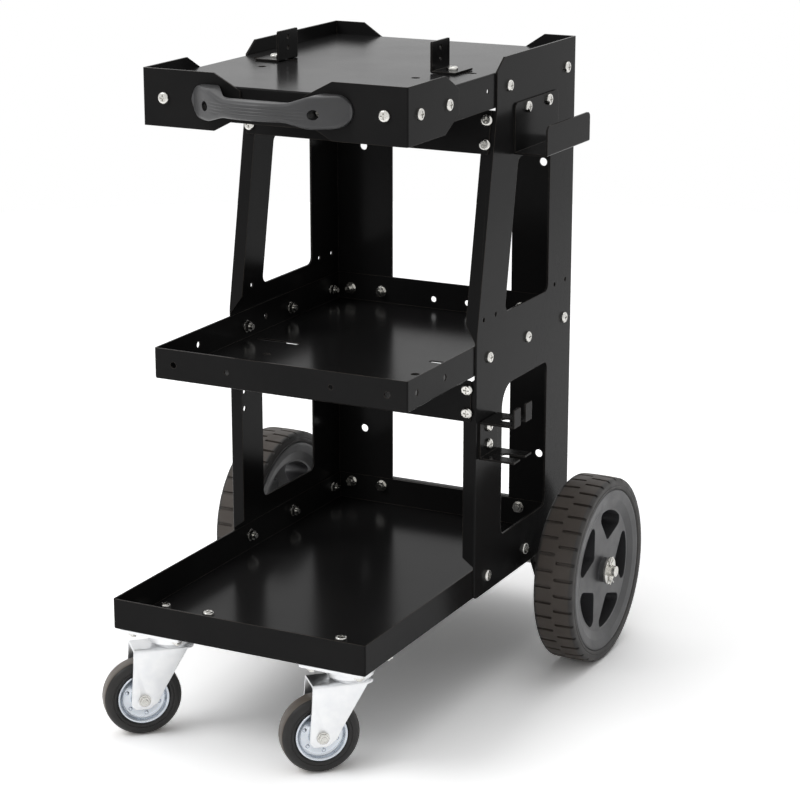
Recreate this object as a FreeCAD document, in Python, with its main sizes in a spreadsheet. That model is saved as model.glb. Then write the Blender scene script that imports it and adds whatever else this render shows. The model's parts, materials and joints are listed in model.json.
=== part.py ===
import FreeCAD, Part
import math
import os

import Sketcher
from FreeCAD import Placement, Rotation, Vector

# Three-shelf welding trolley, in millimetres, +Z up.
# Origin: on the ground, under the middle of the whole trolley's box.
# The handle and casters are at the front, towards -Y. The large wheels are at the rear, and +X is the
# side that carries the cable hook.
# A setback is a distance towards the rear, measured from the bottom tray's front face.

# The driving dimensions: name, value and what it measures
SIZES = (
    ("cart_width", 290, "over the outer faces of the side panels"),
    ("panel_gauge", 2, "sheet of the side panels, guards, braces and brackets"),
    ("tray_gauge", 1.5, "sheet of the trays and the top shelf"),
    ("fold_radius", 1.8, "outer radius of a fold in the sheet"),
    ("panel_drop", 1.6, "side panel's lower edge below the bottom tray's underside"),
    ("panel_rise", 14, "side panel's upper edge above the top shelf's face"),
    ("panel_setback", 239, "setback of the side panel's lower front edge"),
    ("panel_rear_setback", 481.5, "setback of the side panel's rear face"),
    ("slant_run", 44, "how far the panel's front edge leans back above the middle tray"),
    ("slant_drop", 37, "from the top shelf's face down to where it is upright again"),
    ("head_chamfer_run", 18, "panel's top front corner, along the top"),
    ("head_chamfer_drop", 13, "panel's top front corner, down the front"),
    ("front_flange_width", 14, "flange along the panel's front edge"),
    ("rear_flange_width", 71, "flange along the panel's rear edge"),
    ("rear_flange_rise", 1.4, "rear flange's lower end above the bottom tray's underside"),
    ("rear_chamfer_run", 36, "rear flange's top corner, along the top"),
    ("rear_chamfer_drop", 23, "rear flange's top corner, down the side"),
    ("flange_chamfer_run", 12, "front flange's end corners, across"),
    ("flange_chamfer_rise", 9, "front flange's end corners, along"),
    ("flange_gap", 3, "between a front flange's end and the tray beside it"),
    ("window_strip", 64, "panel left in front of its two windows"),
    ("window_rear_strip", 63.5, "panel left behind its two windows"),
    ("low_window_rise", 19.4, "lower window above the bottom tray's walls"),
    ("low_window_drop", 25.2, "lower window's upper edge below the middle tray's underside"),
    ("high_window_rise", 20.8, "upper window above the middle tray's walls"),
    ("high_window_drop", 58, "upper window's upper edge below the top shelf's skirt"),
    ("window_corner", 8, "radius of the windows' corners"),
    ("window_sweep", 25, "radius of the lower window's upper front corner"),
    ("bottom_floor", 116.6, "height of the bottom tray's underside"),
    ("middle_floor", 356.2, "height of the middle tray's underside"),
    ("tray_wall", 32, "height of the trays' walls"),
    ("middle_setback", 89, "setback of the middle tray's front face"),
    ("shelf_height", 659, "height of the top shelf's face"),
    ("shelf_skirt", 35, "height of the top shelf's skirt"),
    ("bolt_radius", 3, "M6 bolts"),
    ("screw_length", 12, "M6 screws under the head"),
    ("handle_screw_length", 24, "the two screws of the pull handle"),
    ("bolt_clearance", 0.3, "round a bolt in its hole"),
    ("head_radius", 6, "pan head of an M6 screw"),
    ("head_height", 3.4, "pan head of an M6 screw"),
    ("handle_head_radius", 4.8, "head of a pull handle's screw"),
    ("handle_recess_radius", 5.4, "recess round that head"),
    ("nut_flats", 10, "across the flats of an M6 nut"),
    ("nut_height", 5.2, "M6 nut with its collar"),
    ("collar_radius", 6.6, "collar of the flanged nut"),
    ("washer_gauge", 1.2, "small washers"),
    ("side_bolt_inset", 30, "first bolt of a tray's side behind the panel's front edge"),
    ("side_bolt_pitch", 95.5, "between the bolts of a tray's side"),
    ("bottom_bolt_rise", 17.5, "side bolts above the bottom tray's underside"),
    ("middle_bolt_rise", 14, "side and rear bolts above the middle tray's underside"),
    ("middle_hole_spread", 21, "rear wall's two spare holes from the middle"),
    ("middle_hole_rise", 12, "those holes above the middle tray's underside"),
    ("shelf_bolt_drop", 16, "bolts and screws of the top shelf below its face"),
    ("shelf_bolt_front", 28, "shelf's front bolt behind the panel's upper front edge"),
    ("shelf_bolt_rear", 24.5, "shelf's rear bolt in front of the panel's rear face"),
    ("rear_bolt_inset", 19, "outer rear bolt, in from the panel's face"),
    ("rear_bolt_pitch", 39, "between the two bolts of a rear flange"),
    ("platform_bolt_rise", 22.5, "rear bolts above the bottom tray's underside"),
    ("brace_height", 43.5, "height of a cross brace"),
    ("brace_inset", 5, "brace's end, in from the panel's face"),
    ("brace_bolt_inset", 9, "brace's bolts, in from the panel's face"),
    ("brace_bolt_pitch", 24.5, "between the two bolts of a brace's end"),
    ("upper_brace_drop", 24.8, "upper brace's middle below the top shelf's skirt"),
    ("middle_brace_drop", 26, "middle brace's middle below the middle tray's underside"),
    ("guard_leg", 110, "length of each leg of a corner guard"),
    ("guard_height", 56.5, "height of a corner guard"),
    ("guard_nose", 25, "upright end of a guard's leg"),
    ("guard_taper", 30, "taper towards a guard's end"),
    ("guard_near_hole", 24, "first hole of a guard's leg from the corner"),
    ("guard_far_hole", 86, "second hole of a guard's leg from the corner"),
    ("handle_overhang", 29, "pull handle beyond its screws, at each end"),
    ("handle_reach", 44, "pull handle's grip in front of the guards"),
    ("handle_pad_rise", 17, "top of the handle's feet above its screws"),
    ("handle_pad_drop", 14.5, "underside of the handle's feet below its screws"),
    ("grip_rise", 10, "grip's top above the handle's screws"),
    ("grip_drop", 8, "grip's underside below the handle's screws"),
    ("grip_even", 34, "from the middle to where the grip grows taller"),
    ("pad_even", 55, "from the middle to where it is as tall as its feet"),
    ("grip_depth", 18, "grip, front to back"),
    ("grip_length", 76, "straight inner side of the grip"),
    ("grip_shoulder", 7, "outer side of the grip beyond the inner one, at each end"),
    ("grip_corner", 22, "radius of the handle's outer bends"),
    ("grip_bend", 9, "radius of its inner bends"),
    ("handle_foot_length", 33, "each foot's length on the guard"),
    ("handle_head_depth", 32, "handle screw's head behind the grip's front"),
    ("stop_inset", 44, "stop's screw, in from the side panel's face"),
    ("stop_setback", 270, "setback of the stops' screws and slots"),
    ("stop_width", 40, "stop, front to back"),
    ("stop_rise", 29, "stop's upright above its foot"),
    ("stop_inboard", 14.5, "stop's upright from its screw"),
    ("stop_outboard", 13, "stop's foot beyond its screw"),
    ("stop_hole_radius", 2.3, "two holes of the stop's upright"),
    ("stop_running_gap", 0.3, "between the stop's foot and the shelf"),
    ("slot_inboard", 24, "stop's slot inboard of the stop's screw"),
    ("slot_outboard", 27, "stop's slot outboard of the stop's screw"),
    ("slot_width", 6.6, "slots of the stops"),
    ("spare_hole_radius", 4.5, "round hole in front of each slot"),
    ("spare_hole_inboard", 14, "that hole inboard of the stop's screw"),
    ("spare_hole_lead", 53, "that hole in front of the slot"),
    ("hook_inset", 40, "cable hook's front end behind the panel's upper front edge"),
    ("hook_length", 110, "length of the cable hook"),
    ("hook_gap", 1, "cable hook's upper edge below the top shelf's skirt"),
    ("hook_back", 52, "height of its back plate"),
    ("hook_lip", 31, "height of its lip"),
    ("hook_reach", 38, "its lip's outer face from the panel"),
    ("hook_lip_corner", 6, "rounded corners of the lip"),
    ("hook_screw_inset", 30, "its first screw behind its front end"),
    ("hook_screw_pitch", 53, "between its two screws"),
    ("hook_screw_rise", 45, "its screws above its underside"),
    ("holder_inset", 7, "torch holder's front edge behind the panel's front edge"),
    ("holder_width", 43, "torch holder, front to back"),
    ("holder_foot", 267, "height of its underside"),
    ("holder_height", 40, "between its outer faces"),
    ("holder_reach", 40, "length of its arms"),
    ("holder_slot", 13, "width of the slot in its arms"),
    ("holder_slot_depth", 24, "depth of the slot in its arms"),
    ("holder_tab", 17, "height of the upper arm's turned-up ends"),
    ("holder_screw_inset", 19.5, "its screws behind its front edge"),
    ("holder_screw_rise", 12, "its lower screw above its underside"),
    ("holder_screw_pitch", 19.5, "between its screws"),
    ("index_hole_radius", 2.6, "small spare holes of the side panels"),
    ("index_inset", 17, "first of a pair of small holes behind the edge in front of it"),
    ("index_rise", 23.8, "panels' row of small holes above the middle tray's walls"),
    ("chain_hole_radius", 4.5, "holes of the rear flanges for a bottle's chain"),
    ("chain_hole_spread", 110, "those holes from the middle"),
    ("chain_hole_low", 205, "height of the lower one"),
    ("chain_hole_high", 535, "height of the upper one"),
    ("axle_inset", 57.5, "rear axle in front of the panels' rear faces"),
    ("axle_drop", 14.6, "middle of the rear axle below the bottom tray's underside"),
    ("axle_radius", 6, "rear axle"),
    ("axle_fit", 0.05, "radial clearance of a shaft in its bore"),
    ("wheel_width", 45, "rear tyre"),
    ("wheel_gap", 29, "between a side panel and the rear wheel beside it"),
    ("tyre_height", 13, "rear tyre, from the hub's rim to the tread"),
    ("rim_ring", 11, "rear hub's flat ring"),
    ("rim_slope", 10, "rear hub's slope from its ring down to its web"),
    ("rim_fall", 2.2, "inner edge of that ring below the tyre's side"),
    ("web_gauge", 34, "rear hub's web, along the axle"),
    ("boss_radius", 13, "rear hub's boss"),
    ("bush_gauge", 3, "wall of the rear bush"),
    ("hub_window_corner", 7, "outer corners of the rear hub's windows"),
    ("hub_window_apex", 6, "their rounded inner corner"),
    ("hub_window_near", 32, "their inner corner from the axle, before it is rounded"),
    ("hub_window_rim", 2, "between a window's outer edge and the slope round it"),
    ("spoke_width", 9, "between the outer corners of two windows"),
    ("spoke_count", 5, "spokes of the rear hub"),
    ("tread_count", 36, "grooves round each row of the rear tyre"),
    ("tread_groove", 3.6, "width of a tread groove"),
    ("tread_depth", 3, "depth of a tread groove"),
    ("tread_length", 18, "length of a tread groove"),
    ("tyre_shoulder", 4, "rounding of the rear tyre's edges"),
    ("axle_washer_radius", 15, "washers outside the rear wheels"),
    ("axle_washer_gauge", 2.5, "washers outside the rear wheels"),
    ("pin_radius", 1.6, "split pins"),
    ("pin_length", 28, "split pins"),
    ("pin_gap", 0.3, "between a split pin and the washer beside it"),
    ("axle_end", 5.5, "axle beyond the middle of a split pin"),
    ("running_gap", 0.3, "between turning and fixed faces"),
    ("platform_gap", 3, "between the bottle platform and the side panels"),
    ("platform_depth", 98, "bottle platform behind the panels"),
    ("platform_lead", 26, "bottle platform in front of the axle, under the tray"),
    ("platform_gauge", 2.5, "sheet of the bottle platform"),
    ("platform_skirt", 16, "its side skirts below the middle of the axle"),
    ("platform_lip", 20, "height of its rear lip, turned down"),
    ("platform_back", 32, "height of its front flange above the tray's underside"),
    ("caster_inset", 5, "caster's top plate, in from the tray's side"),
    ("caster_lead", 1, "caster's top plate, behind the tray's front face"),
    ("swivel_angle", 43, "how far the casters are turned at rest, in degrees"),
    ("caster_trail", 32, "caster's axle behind its swivel axis"),
    ("caster_radius", 40, "caster's wheel"),
    ("caster_tyre_width", 24, "caster's tyre"),
    ("caster_tyre_round", 1.5, "rounding of the caster tyre's edges, and twice that along the axle"),
    ("caster_rim_radius", 27, "caster's rim, inside the tyre"),
    ("caster_bolt_radius", 4, "caster's axle bolt"),
    ("plate_width", 70, "caster's top plate, across"),
    ("plate_length", 86, "caster's top plate, front to back"),
    ("plate_gauge", 3, "caster's top plate"),
    ("plate_hole_pitch", 52, "between the plate's holes, across"),
    ("plate_hole_reach", 60, "between the plate's holes, front to back"),
    ("upper_race_radius", 26, "swivel bearing's upper cup"),
    ("upper_race_height", 6.6, "swivel bearing's upper cup"),
    ("lower_race_radius", 24, "swivel bearing's lower cup"),
    ("lower_race_height", 11.7, "swivel bearing's lower cup"),
    ("king_pin_radius", 6, "swivel's rivet"),
    ("king_head_radius", 9, "head of the swivel's rivet"),
    ("king_head_height", 3, "head of the swivel's rivet"),
    ("fork_gauge", 2.5, "sheet of the fork"),
    ("fork_side_gap", 2.5, "between the fork's leg and the tyre"),
    ("fork_front", 46, "fork leg's upper front corner, ahead of the axle"),
    ("fork_rear", 9.5, "fork leg's upper rear corner, behind the axle"),
    ("fork_toe", 13.5, "fork leg's lower rear corner, behind the axle"),
    ("fork_heel", 9.5, "fork leg's lower edge below the axle"),
    ("fork_brow", 21, "fork's upper plate ahead of the swivel axis"),
    ("fork_brow_corner", 6, "slanted front corners of that plate"),
)

X_AXIS, Y_AXIS, Z_AXIS = Vector(1, 0, 0), Vector(0, 1, 0), Vector(0, 0, 1)
TOUCH = 0.02    # two points this close are taken as one
LEFT, RIGHT = -1, 1
SIDES = ((LEFT, "left"), (RIGHT, "right"))

doc = FreeCAD.newDocument("welding_trolley")
sheet = doc.addObject("Spreadsheet::Sheet", "Sizes")


# Sizes that know their value and their tie to the sheet

class Size:
    """A length or an angle: its value, and the expression that ties it to the sheet."""

    def __init__(self, value, text):
        self.value = float(value)
        self.text = text

    def __add__(self, other):
        return Size(self.value + value_of(other), "(%s + %s)" % (self.text, text_of(other)))

    def __radd__(self, other):
        return self + other

    def __sub__(self, other):
        return Size(self.value - value_of(other), "(%s - %s)" % (self.text, text_of(other)))

    def __rsub__(self, other):
        return Size(value_of(other) - self.value, "(%s - %s)" % (text_of(other), self.text))

    def __mul__(self, other):
        return Size(self.value * value_of(other), "(%s * %s)" % (self.text, text_of(other)))

    def __rmul__(self, other):
        return self * other

    def __truediv__(self, other):
        return Size(self.value / value_of(other), "(%s / %s)" % (self.text, text_of(other)))

    def __rtruediv__(self, other):
        return Size(value_of(other) / self.value, "(%s / %s)" % (text_of(other), self.text))

    def __neg__(self):
        return self * -1

    def __float__(self):
        return self.value


def value_of(item):
    return float(item)


def text_of(item):
    return item.text if isinstance(item, Size) else "(%.6g)" % item


def sine(angle):
    return Size(math.sin(math.radians(angle.value)), "sin(%s * 1 deg)" % angle.text)


def cosine(angle):
    return Size(math.cos(math.radians(angle.value)), "cos(%s * 1 deg)" % angle.text)


def lesser(one, other):
    return Size(min(value_of(one), value_of(other)), "min(%s; %s)" % (text_of(one), text_of(other)))


def greater(one, other):
    return Size(max(value_of(one), value_of(other)), "max(%s; %s)" % (text_of(one), text_of(other)))


def root(size):
    return Size(math.sqrt(size.value), "sqrt(%s)" % size.text)


def lean_angle(run, rise):
    """The angle, as a turn, of a line that goes along by run in rise."""
    value = math.degrees(math.atan2(run.value, rise.value))
    return Size(value, "atan(%s / %s)" % (run.text, rise.text))


def as_size(number):
    return Size(number, "(%.6g)" % number)


def as_turn(size):
    """A plain number of degrees as a turn."""
    return Size(size.value, "(%s * 1 deg)" % size.text)


def fill_sheet():
    sizes = {}
    for row, (name, value, meaning) in enumerate(SIZES, 1):
        sheet.set("A%d" % row, meaning)
        sheet.set("B%d" % row, str(value))
        sheet.setAlias("B%d" % row, name)
        sizes[name] = Size(value, "Sizes." + name)
    doc.recompute()
    return sizes


class Namespace:
    """Holds each size under its own name."""

    def __init__(self, entries):
        self.__dict__.update(entries)


S = Namespace(fill_sheet())

# Places that follow from the sizes

HALF = S.cart_width / 2
INNER = HALF - S.panel_gauge
REAR_INNER = S.panel_rear_setback - S.panel_gauge
UPPER_FRONT = S.panel_setback + S.slant_run
WINDOW_REAR = S.panel_rear_setback - S.window_rear_strip
PANEL_FOOT = S.bottom_floor - S.panel_drop
PANEL_HEAD = S.shelf_height + S.panel_rise
SHELF_FOOT = S.shelf_height - S.shelf_skirt
BOTTOM_WALL_TOP = S.bottom_floor + S.tray_wall
MIDDLE_WALL_TOP = S.middle_floor + S.tray_wall
SHELF_BOLT_HEIGHT = S.shelf_height - S.shelf_bolt_drop
UPPER_BRACE_HEIGHT = SHELF_FOOT - S.upper_brace_drop
MIDDLE_BRACE_HEIGHT = S.middle_floor - S.middle_brace_drop
SLANT_HEAD = S.shelf_height - S.slant_drop
SLANT_RISE = SLANT_HEAD - MIDDLE_WALL_TOP
LEAN = S.slant_run / SLANT_RISE
LEAN_ANGLE = lean_angle(S.slant_run, SLANT_RISE)
LEAN_COSINE = SLANT_RISE / root(S.slant_run * S.slant_run + SLANT_RISE * SLANT_RISE)
BOLT_HOLE = S.bolt_radius + S.bolt_clearance
GUARD_SETBACK = S.middle_setback - S.panel_gauge * 1.9
SHELF_SETBACK = GUARD_SETBACK + S.panel_gauge
GUARD_FOOT = SHELF_BOLT_HEIGHT - S.guard_height / 2
HANDLE_END = HALF - S.guard_far_hole + S.handle_overhang
STOP_SPREAD = HALF - S.stop_inset
SPARE_HOLE_SETBACK = S.stop_setback - S.spare_hole_lead
HOOK_SETBACK = UPPER_FRONT + S.hook_inset
HOOK_FOOT = SHELF_FOOT - S.hook_gap - S.hook_back
HOLDER_SETBACK = S.panel_setback + S.holder_inset
PLATFORM_HALF = INNER - S.platform_gap
AXLE_SETBACK = S.panel_rear_setback - S.axle_inset
WHEEL_RADIUS = S.bottom_floor - S.axle_drop
RIM_RADIUS = WHEEL_RADIUS - S.tyre_height
WHEEL_MIDDLE = HALF + S.wheel_gap + S.wheel_width / 2
WASHER_INNER = HALF + S.wheel_gap + S.wheel_width + S.running_gap
PIN_MIDDLE = WASHER_INNER + S.axle_washer_gauge + S.pin_gap + S.pin_radius
AXLE_HALF = PIN_MIDDLE + S.axle_end
CASTER_SPREAD = INNER - S.caster_inset - S.plate_width / 2
CASTER_SETBACK = S.caster_lead + S.plate_length / 2
REAR_MOST = greater(AXLE_SETBACK + WHEEL_RADIUS, S.panel_rear_setback + S.platform_depth)
CASTER_FRONT = (CASTER_SETBACK
                - (S.caster_trail + S.caster_radius - S.caster_tyre_round) * sine(S.swivel_angle)
                - (S.caster_tyre_width / 2 - S.caster_tyre_round * 2) * cosine(S.swivel_angle))
FRONT = -(REAR_MOST + lesser(CASTER_FRONT, 0)) / 2
HUB_BORE = S.axle_radius + S.axle_fit + S.bush_gauge
FORK_HALF = S.caster_tyre_width / 2 + S.fork_side_gap
RACE_TOP = S.bottom_floor - S.plate_gauge
WEB_TOP = RACE_TOP - S.upper_race_height - S.running_gap - S.lower_race_height
CASTER_BORE = S.caster_bolt_radius + S.axle_fit


# Drawing tools

def bind(thing, path, size):
    thing.setExpression(path, text_of(size))


def new_body(label, across=0, setback=0, height=0):
    """A body whose own origin lies across, behind the bottom tray's front face and above the ground."""
    body = doc.addObject("PartDesign::Body", label)
    body.Label = label
    bind(body, "Placement.Base.x", across)
    bind(body, "Placement.Base.y", FRONT + setback)
    bind(body, "Placement.Base.z", height)
    return body


def turn_body(body, axis, turn):
    body.Placement = Placement(body.Placement.Base, Rotation(axis, turn.value))
    bind(body, "Placement.Rotation.Angle", turn)


def new_sketch(body, role, offset=0):
    """A sketch on one of the body's own planes, moved along that plane's axis by the offset."""
    sketch = body.newObject("Sketcher::SketchObject", body.Name + "_sketch")
    plane = [feature for feature in body.Origin.OriginFeatures if feature.Role == role][0]
    sketch.AttachmentSupport = (plane, [""])
    sketch.MapMode = "FlatFace"
    bind(sketch, "AttachmentOffset.Base.z", -offset if role == "XZ_Plane" else offset)
    return sketch


def mirrored(spots, side):
    return [(across * side, height) for across, height in spots]


def on_both_sides(spots):
    return mirrored(spots, LEFT) + mirrored(spots, RIGHT)


def fix_point(sketch, index, end, spot):
    """Holds one end of a curve, or an arc's centre, at its place from the sketch's origin."""
    for kind, size in zip(("DistanceX", "DistanceY"), spot):
        number = sketch.addConstraint(Sketcher.Constraint(kind, -1, 1, index, end, value_of(size)))
        bind(sketch, "Constraints[%d]" % number, size)


def flat(spot):
    return Vector(value_of(spot[0]), value_of(spot[1]), 0)


def polygon(sketch, spots):
    first = sketch.GeometryCount
    for start, end in zip(spots, spots[1:] + spots[:1]):
        sketch.addGeometry(Part.LineSegment(flat(start), flat(end)), False)
    for number, spot in enumerate(spots):
        after = first + (number + 1) % len(spots)
        sketch.addConstraint(Sketcher.Constraint("Coincident", first + number, 2, after, 1))
        fix_point(sketch, first + number, 1, spot)
    return sketch


def rectangle(sketch, low, high):
    return polygon(sketch, [low, (high[0], low[1]), high, (low[0], high[1])])


def circle(sketch, spot, radius):
    index = sketch.addGeometry(Part.Circle(flat(spot), Z_AXIS, value_of(radius)), False)
    fix_point(sketch, index, 3, spot)
    number = sketch.addConstraint(Sketcher.Constraint("Radius", index, value_of(radius)))
    bind(sketch, "Constraints[%d]" % number, radius)
    return sketch


def slot(sketch, start, end, width):
    """A slot with round ends, along the sketch's first axis, from end to end."""
    radius = width / 2
    left, right = (start[0] + radius, start[1]), (end[0] - radius, end[1])
    turn = math.pi / 2
    arcs = []
    for centre, begin in ((left, turn), (right, -turn)):
        ring = Part.Circle(flat(centre), Z_AXIS, radius.value)
        arcs.append(sketch.addGeometry(Part.ArcOfCircle(ring, begin, begin + math.pi), False))
    lines = []
    for rise in (-1, 1):
        ends = [flat(spot) + Vector(0, rise * radius.value, 0) for spot in (left, right)]
        lines.append(sketch.addGeometry(Part.LineSegment(*ends), False))
    lower, upper = lines
    for arc, end, line, line_end in ((arcs[0], 2, lower, 1), (arcs[0], 1, upper, 1),
                                     (arcs[1], 1, lower, 2), (arcs[1], 2, upper, 2)):
        sketch.addConstraint(Sketcher.Constraint("Tangent", arc, end, line, line_end))
    fix_point(sketch, arcs[0], 3, left)
    fix_point(sketch, arcs[1], 3, right)
    number = sketch.addConstraint(Sketcher.Constraint("Radius", arcs[0], radius.value))
    bind(sketch, "Constraints[%d]" % number, radius)
    return sketch


def on_reversed_plane(sketch):
    """The XZ plane faces -Y, unlike the other two."""
    return sketch.AttachmentSupport[0][0].Role == "XZ_Plane"


def pad(body, sketch, length):
    """Material from the sketch towards +X, +Y or +Z."""
    feature = body.newObject("PartDesign::Pad", body.Name + "_pad")
    feature.Profile = sketch
    feature.Reversed = on_reversed_plane(sketch)
    bind(feature, "Length", length)
    return feature


def pocket(body, sketch, length):
    """A cut from the sketch towards +X, +Y or +Z."""
    feature = body.newObject("PartDesign::Pocket", body.Name + "_pocket")
    feature.Profile = sketch
    feature.Reversed = not on_reversed_plane(sketch)
    bind(feature, "Length", length)
    return feature


def drill(body, role, offset, spots, radius, length):
    """Round holes from a plane towards +X, +Y or +Z."""
    sketch = new_sketch(body, role, offset)
    for spot in spots:
        circle(sketch, spot, radius)
    return pocket(body, sketch, length)


def revolve(body, sketch, axis="H_Axis"):
    feature = body.newObject("PartDesign::Revolution", body.Name + "_turning")
    feature.Profile = sketch
    feature.ReferenceAxis = (sketch, [axis])
    feature.Angle = 360
    return feature


def ring_of(body, feature, axis, count):
    """Repeats a feature round one of the body's axes."""
    pattern = body.newObject("PartDesign::PolarPattern", body.Name + "_pattern")
    pattern.Originals = [feature]
    line = [item for item in body.Origin.OriginFeatures if item.Role == axis][0]
    pattern.Axis = (line, [""])
    pattern.Angle = 360
    bind(pattern, "Occurrences", count)
    body.Tip = pattern
    return pattern


def along(axis, spots):
    """Picks straight edges along an axis (0, 1 or 2) that pass through spots in the other two."""
    across = [number for number in range(3) if number != axis]

    def picks(edge):
        ends = [vertex.Point for vertex in edge.Vertexes]
        if len(ends) != 2 or edge.Curve.TypeId != "Part::GeomLine":
            return False
        if max(abs(ends[0][number] - ends[1][number]) for number in across) > TOUCH:
            return False
        return any(all(abs(ends[0][number] - value_of(size)) < TOUCH for number, size in zip(across, spot))
                   for spot in spots)

    return picks


def ring_edges(axis, place, radius):
    """Picks the circular edges of a radius that lie across an axis at a place along it."""

    def picks(edge):
        round_one = edge.Curve.TypeId == "Part::GeomCircle" and edge.Closed
        return (round_one and abs(edge.Curve.Center[axis] - value_of(place)) < TOUCH
                and abs(edge.Curve.Radius - value_of(radius)) < TOUCH)

    return picks


def round_edges(body, radius, *tests):
    """Rounds the body's edges that pass any of the tests."""
    doc.recompute()
    base = body.Tip
    edges = enumerate(base.Shape.Edges, 1)
    names = ["Edge%d" % number for number, edge in edges if any(picks(edge) for picks in tests)]
    if not names:
        raise RuntimeError("no edge to round in " + body.Name)
    feature = body.newObject("PartDesign::Fillet", body.Name + "_rounding")
    feature.Base = (base, names)
    bind(feature, "Radius", radius)
    return feature


# Side panels: a plate with two windows, folded inwards along its front and rear edges

def front_at(height):
    """Setback of the panel's leaning front edge."""
    return S.panel_setback + LEAN * (height - MIDDLE_WALL_TOP)


def panel_outline():
    return [(S.panel_setback, PANEL_FOOT), (S.panel_rear_setback, PANEL_FOOT),
            (S.panel_rear_setback, PANEL_HEAD), (UPPER_FRONT + S.head_chamfer_run, PANEL_HEAD),
            (UPPER_FRONT, PANEL_HEAD - S.head_chamfer_drop), (UPPER_FRONT, SLANT_HEAD),
            (S.panel_setback, MIDDLE_WALL_TOP)]


def panel_windows():
    front = S.panel_setback + S.window_strip
    foot, head = BOTTOM_WALL_TOP + S.low_window_rise, S.middle_floor - S.low_window_drop
    low = [(front, foot), (WINDOW_REAR, foot), (WINDOW_REAR, head), (front, head)]
    foot, head = MIDDLE_WALL_TOP + S.high_window_rise, SHELF_FOOT - S.high_window_drop
    high = [(front_at(foot) + S.window_strip, foot), (WINDOW_REAR, foot), (WINDOW_REAR, head),
            (front_at(head) + S.window_strip, head)]
    return low, high


def side_bolt_spots():
    """Setback and height of the bolts through a side panel."""
    spots = [(setback, SHELF_BOLT_HEIGHT) for setback in shelf_bolt_setbacks()]
    for height in (S.middle_floor + S.middle_bolt_rise, S.bottom_floor + S.bottom_bolt_rise):
        spots += [(setback, height) for setback in tray_bolt_setbacks()]
    return spots


def shelf_bolt_setbacks():
    return [UPPER_FRONT + S.shelf_bolt_front, S.panel_rear_setback - S.shelf_bolt_rear]


def tray_bolt_setbacks():
    return [S.panel_setback + S.side_bolt_inset + S.side_bolt_pitch * number for number in range(3)]


def hook_screw_spots():
    first, height = HOOK_SETBACK + S.hook_screw_inset, HOOK_FOOT + S.hook_screw_rise
    return [(first + S.hook_screw_pitch * number, height) for number in range(2)]


def holder_screw_spots():
    setback, first = HOLDER_SETBACK + S.holder_screw_inset, S.holder_foot + S.holder_screw_rise
    return [(setback, first + S.holder_screw_pitch * number) for number in range(2)]


def index_hole_spots():
    """Four small holes in a row beside the middle tray, in two pairs."""
    pair = S.side_bolt_pitch * 0.3
    starts = (S.panel_setback + S.index_inset, WINDOW_REAR + S.index_inset)
    return [(start + step, MIDDLE_WALL_TOP + S.index_rise) for start in starts for step in (0, pair)]


def rear_bolt_spots():
    """Distance from the middle and height of the rear flanges' bolts on the +X side."""
    outer = HALF - S.rear_bolt_inset
    heights = (S.middle_floor + S.middle_bolt_rise, S.bottom_floor + S.platform_bolt_rise)
    return [(across, height) for height in heights for across in (outer, outer - S.rear_bolt_pitch)]


def rear_flange_outline(side):
    inner, foot = HALF - S.rear_flange_width, S.bottom_floor + S.rear_flange_rise
    spots = [(HALF, foot), (HALF, PANEL_HEAD), (HALF - S.rear_chamfer_run, PANEL_HEAD),
             (inner, PANEL_HEAD - S.rear_chamfer_drop), (inner, foot)]
    return mirrored(spots, side)


def front_flange_outline(side):
    """The lower front flange, which stops short of both trays."""
    inner = HALF - S.front_flange_width
    foot = BOTTOM_WALL_TOP + S.flange_gap
    head = S.middle_floor - S.flange_gap
    shoulder = inner + S.flange_chamfer_run
    spots = [(HALF, foot), (HALF, head), (shoulder, head), (inner, head - S.flange_chamfer_rise),
             (inner, foot + S.flange_chamfer_rise), (shoulder, foot)]
    return mirrored(spots, side)


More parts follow.
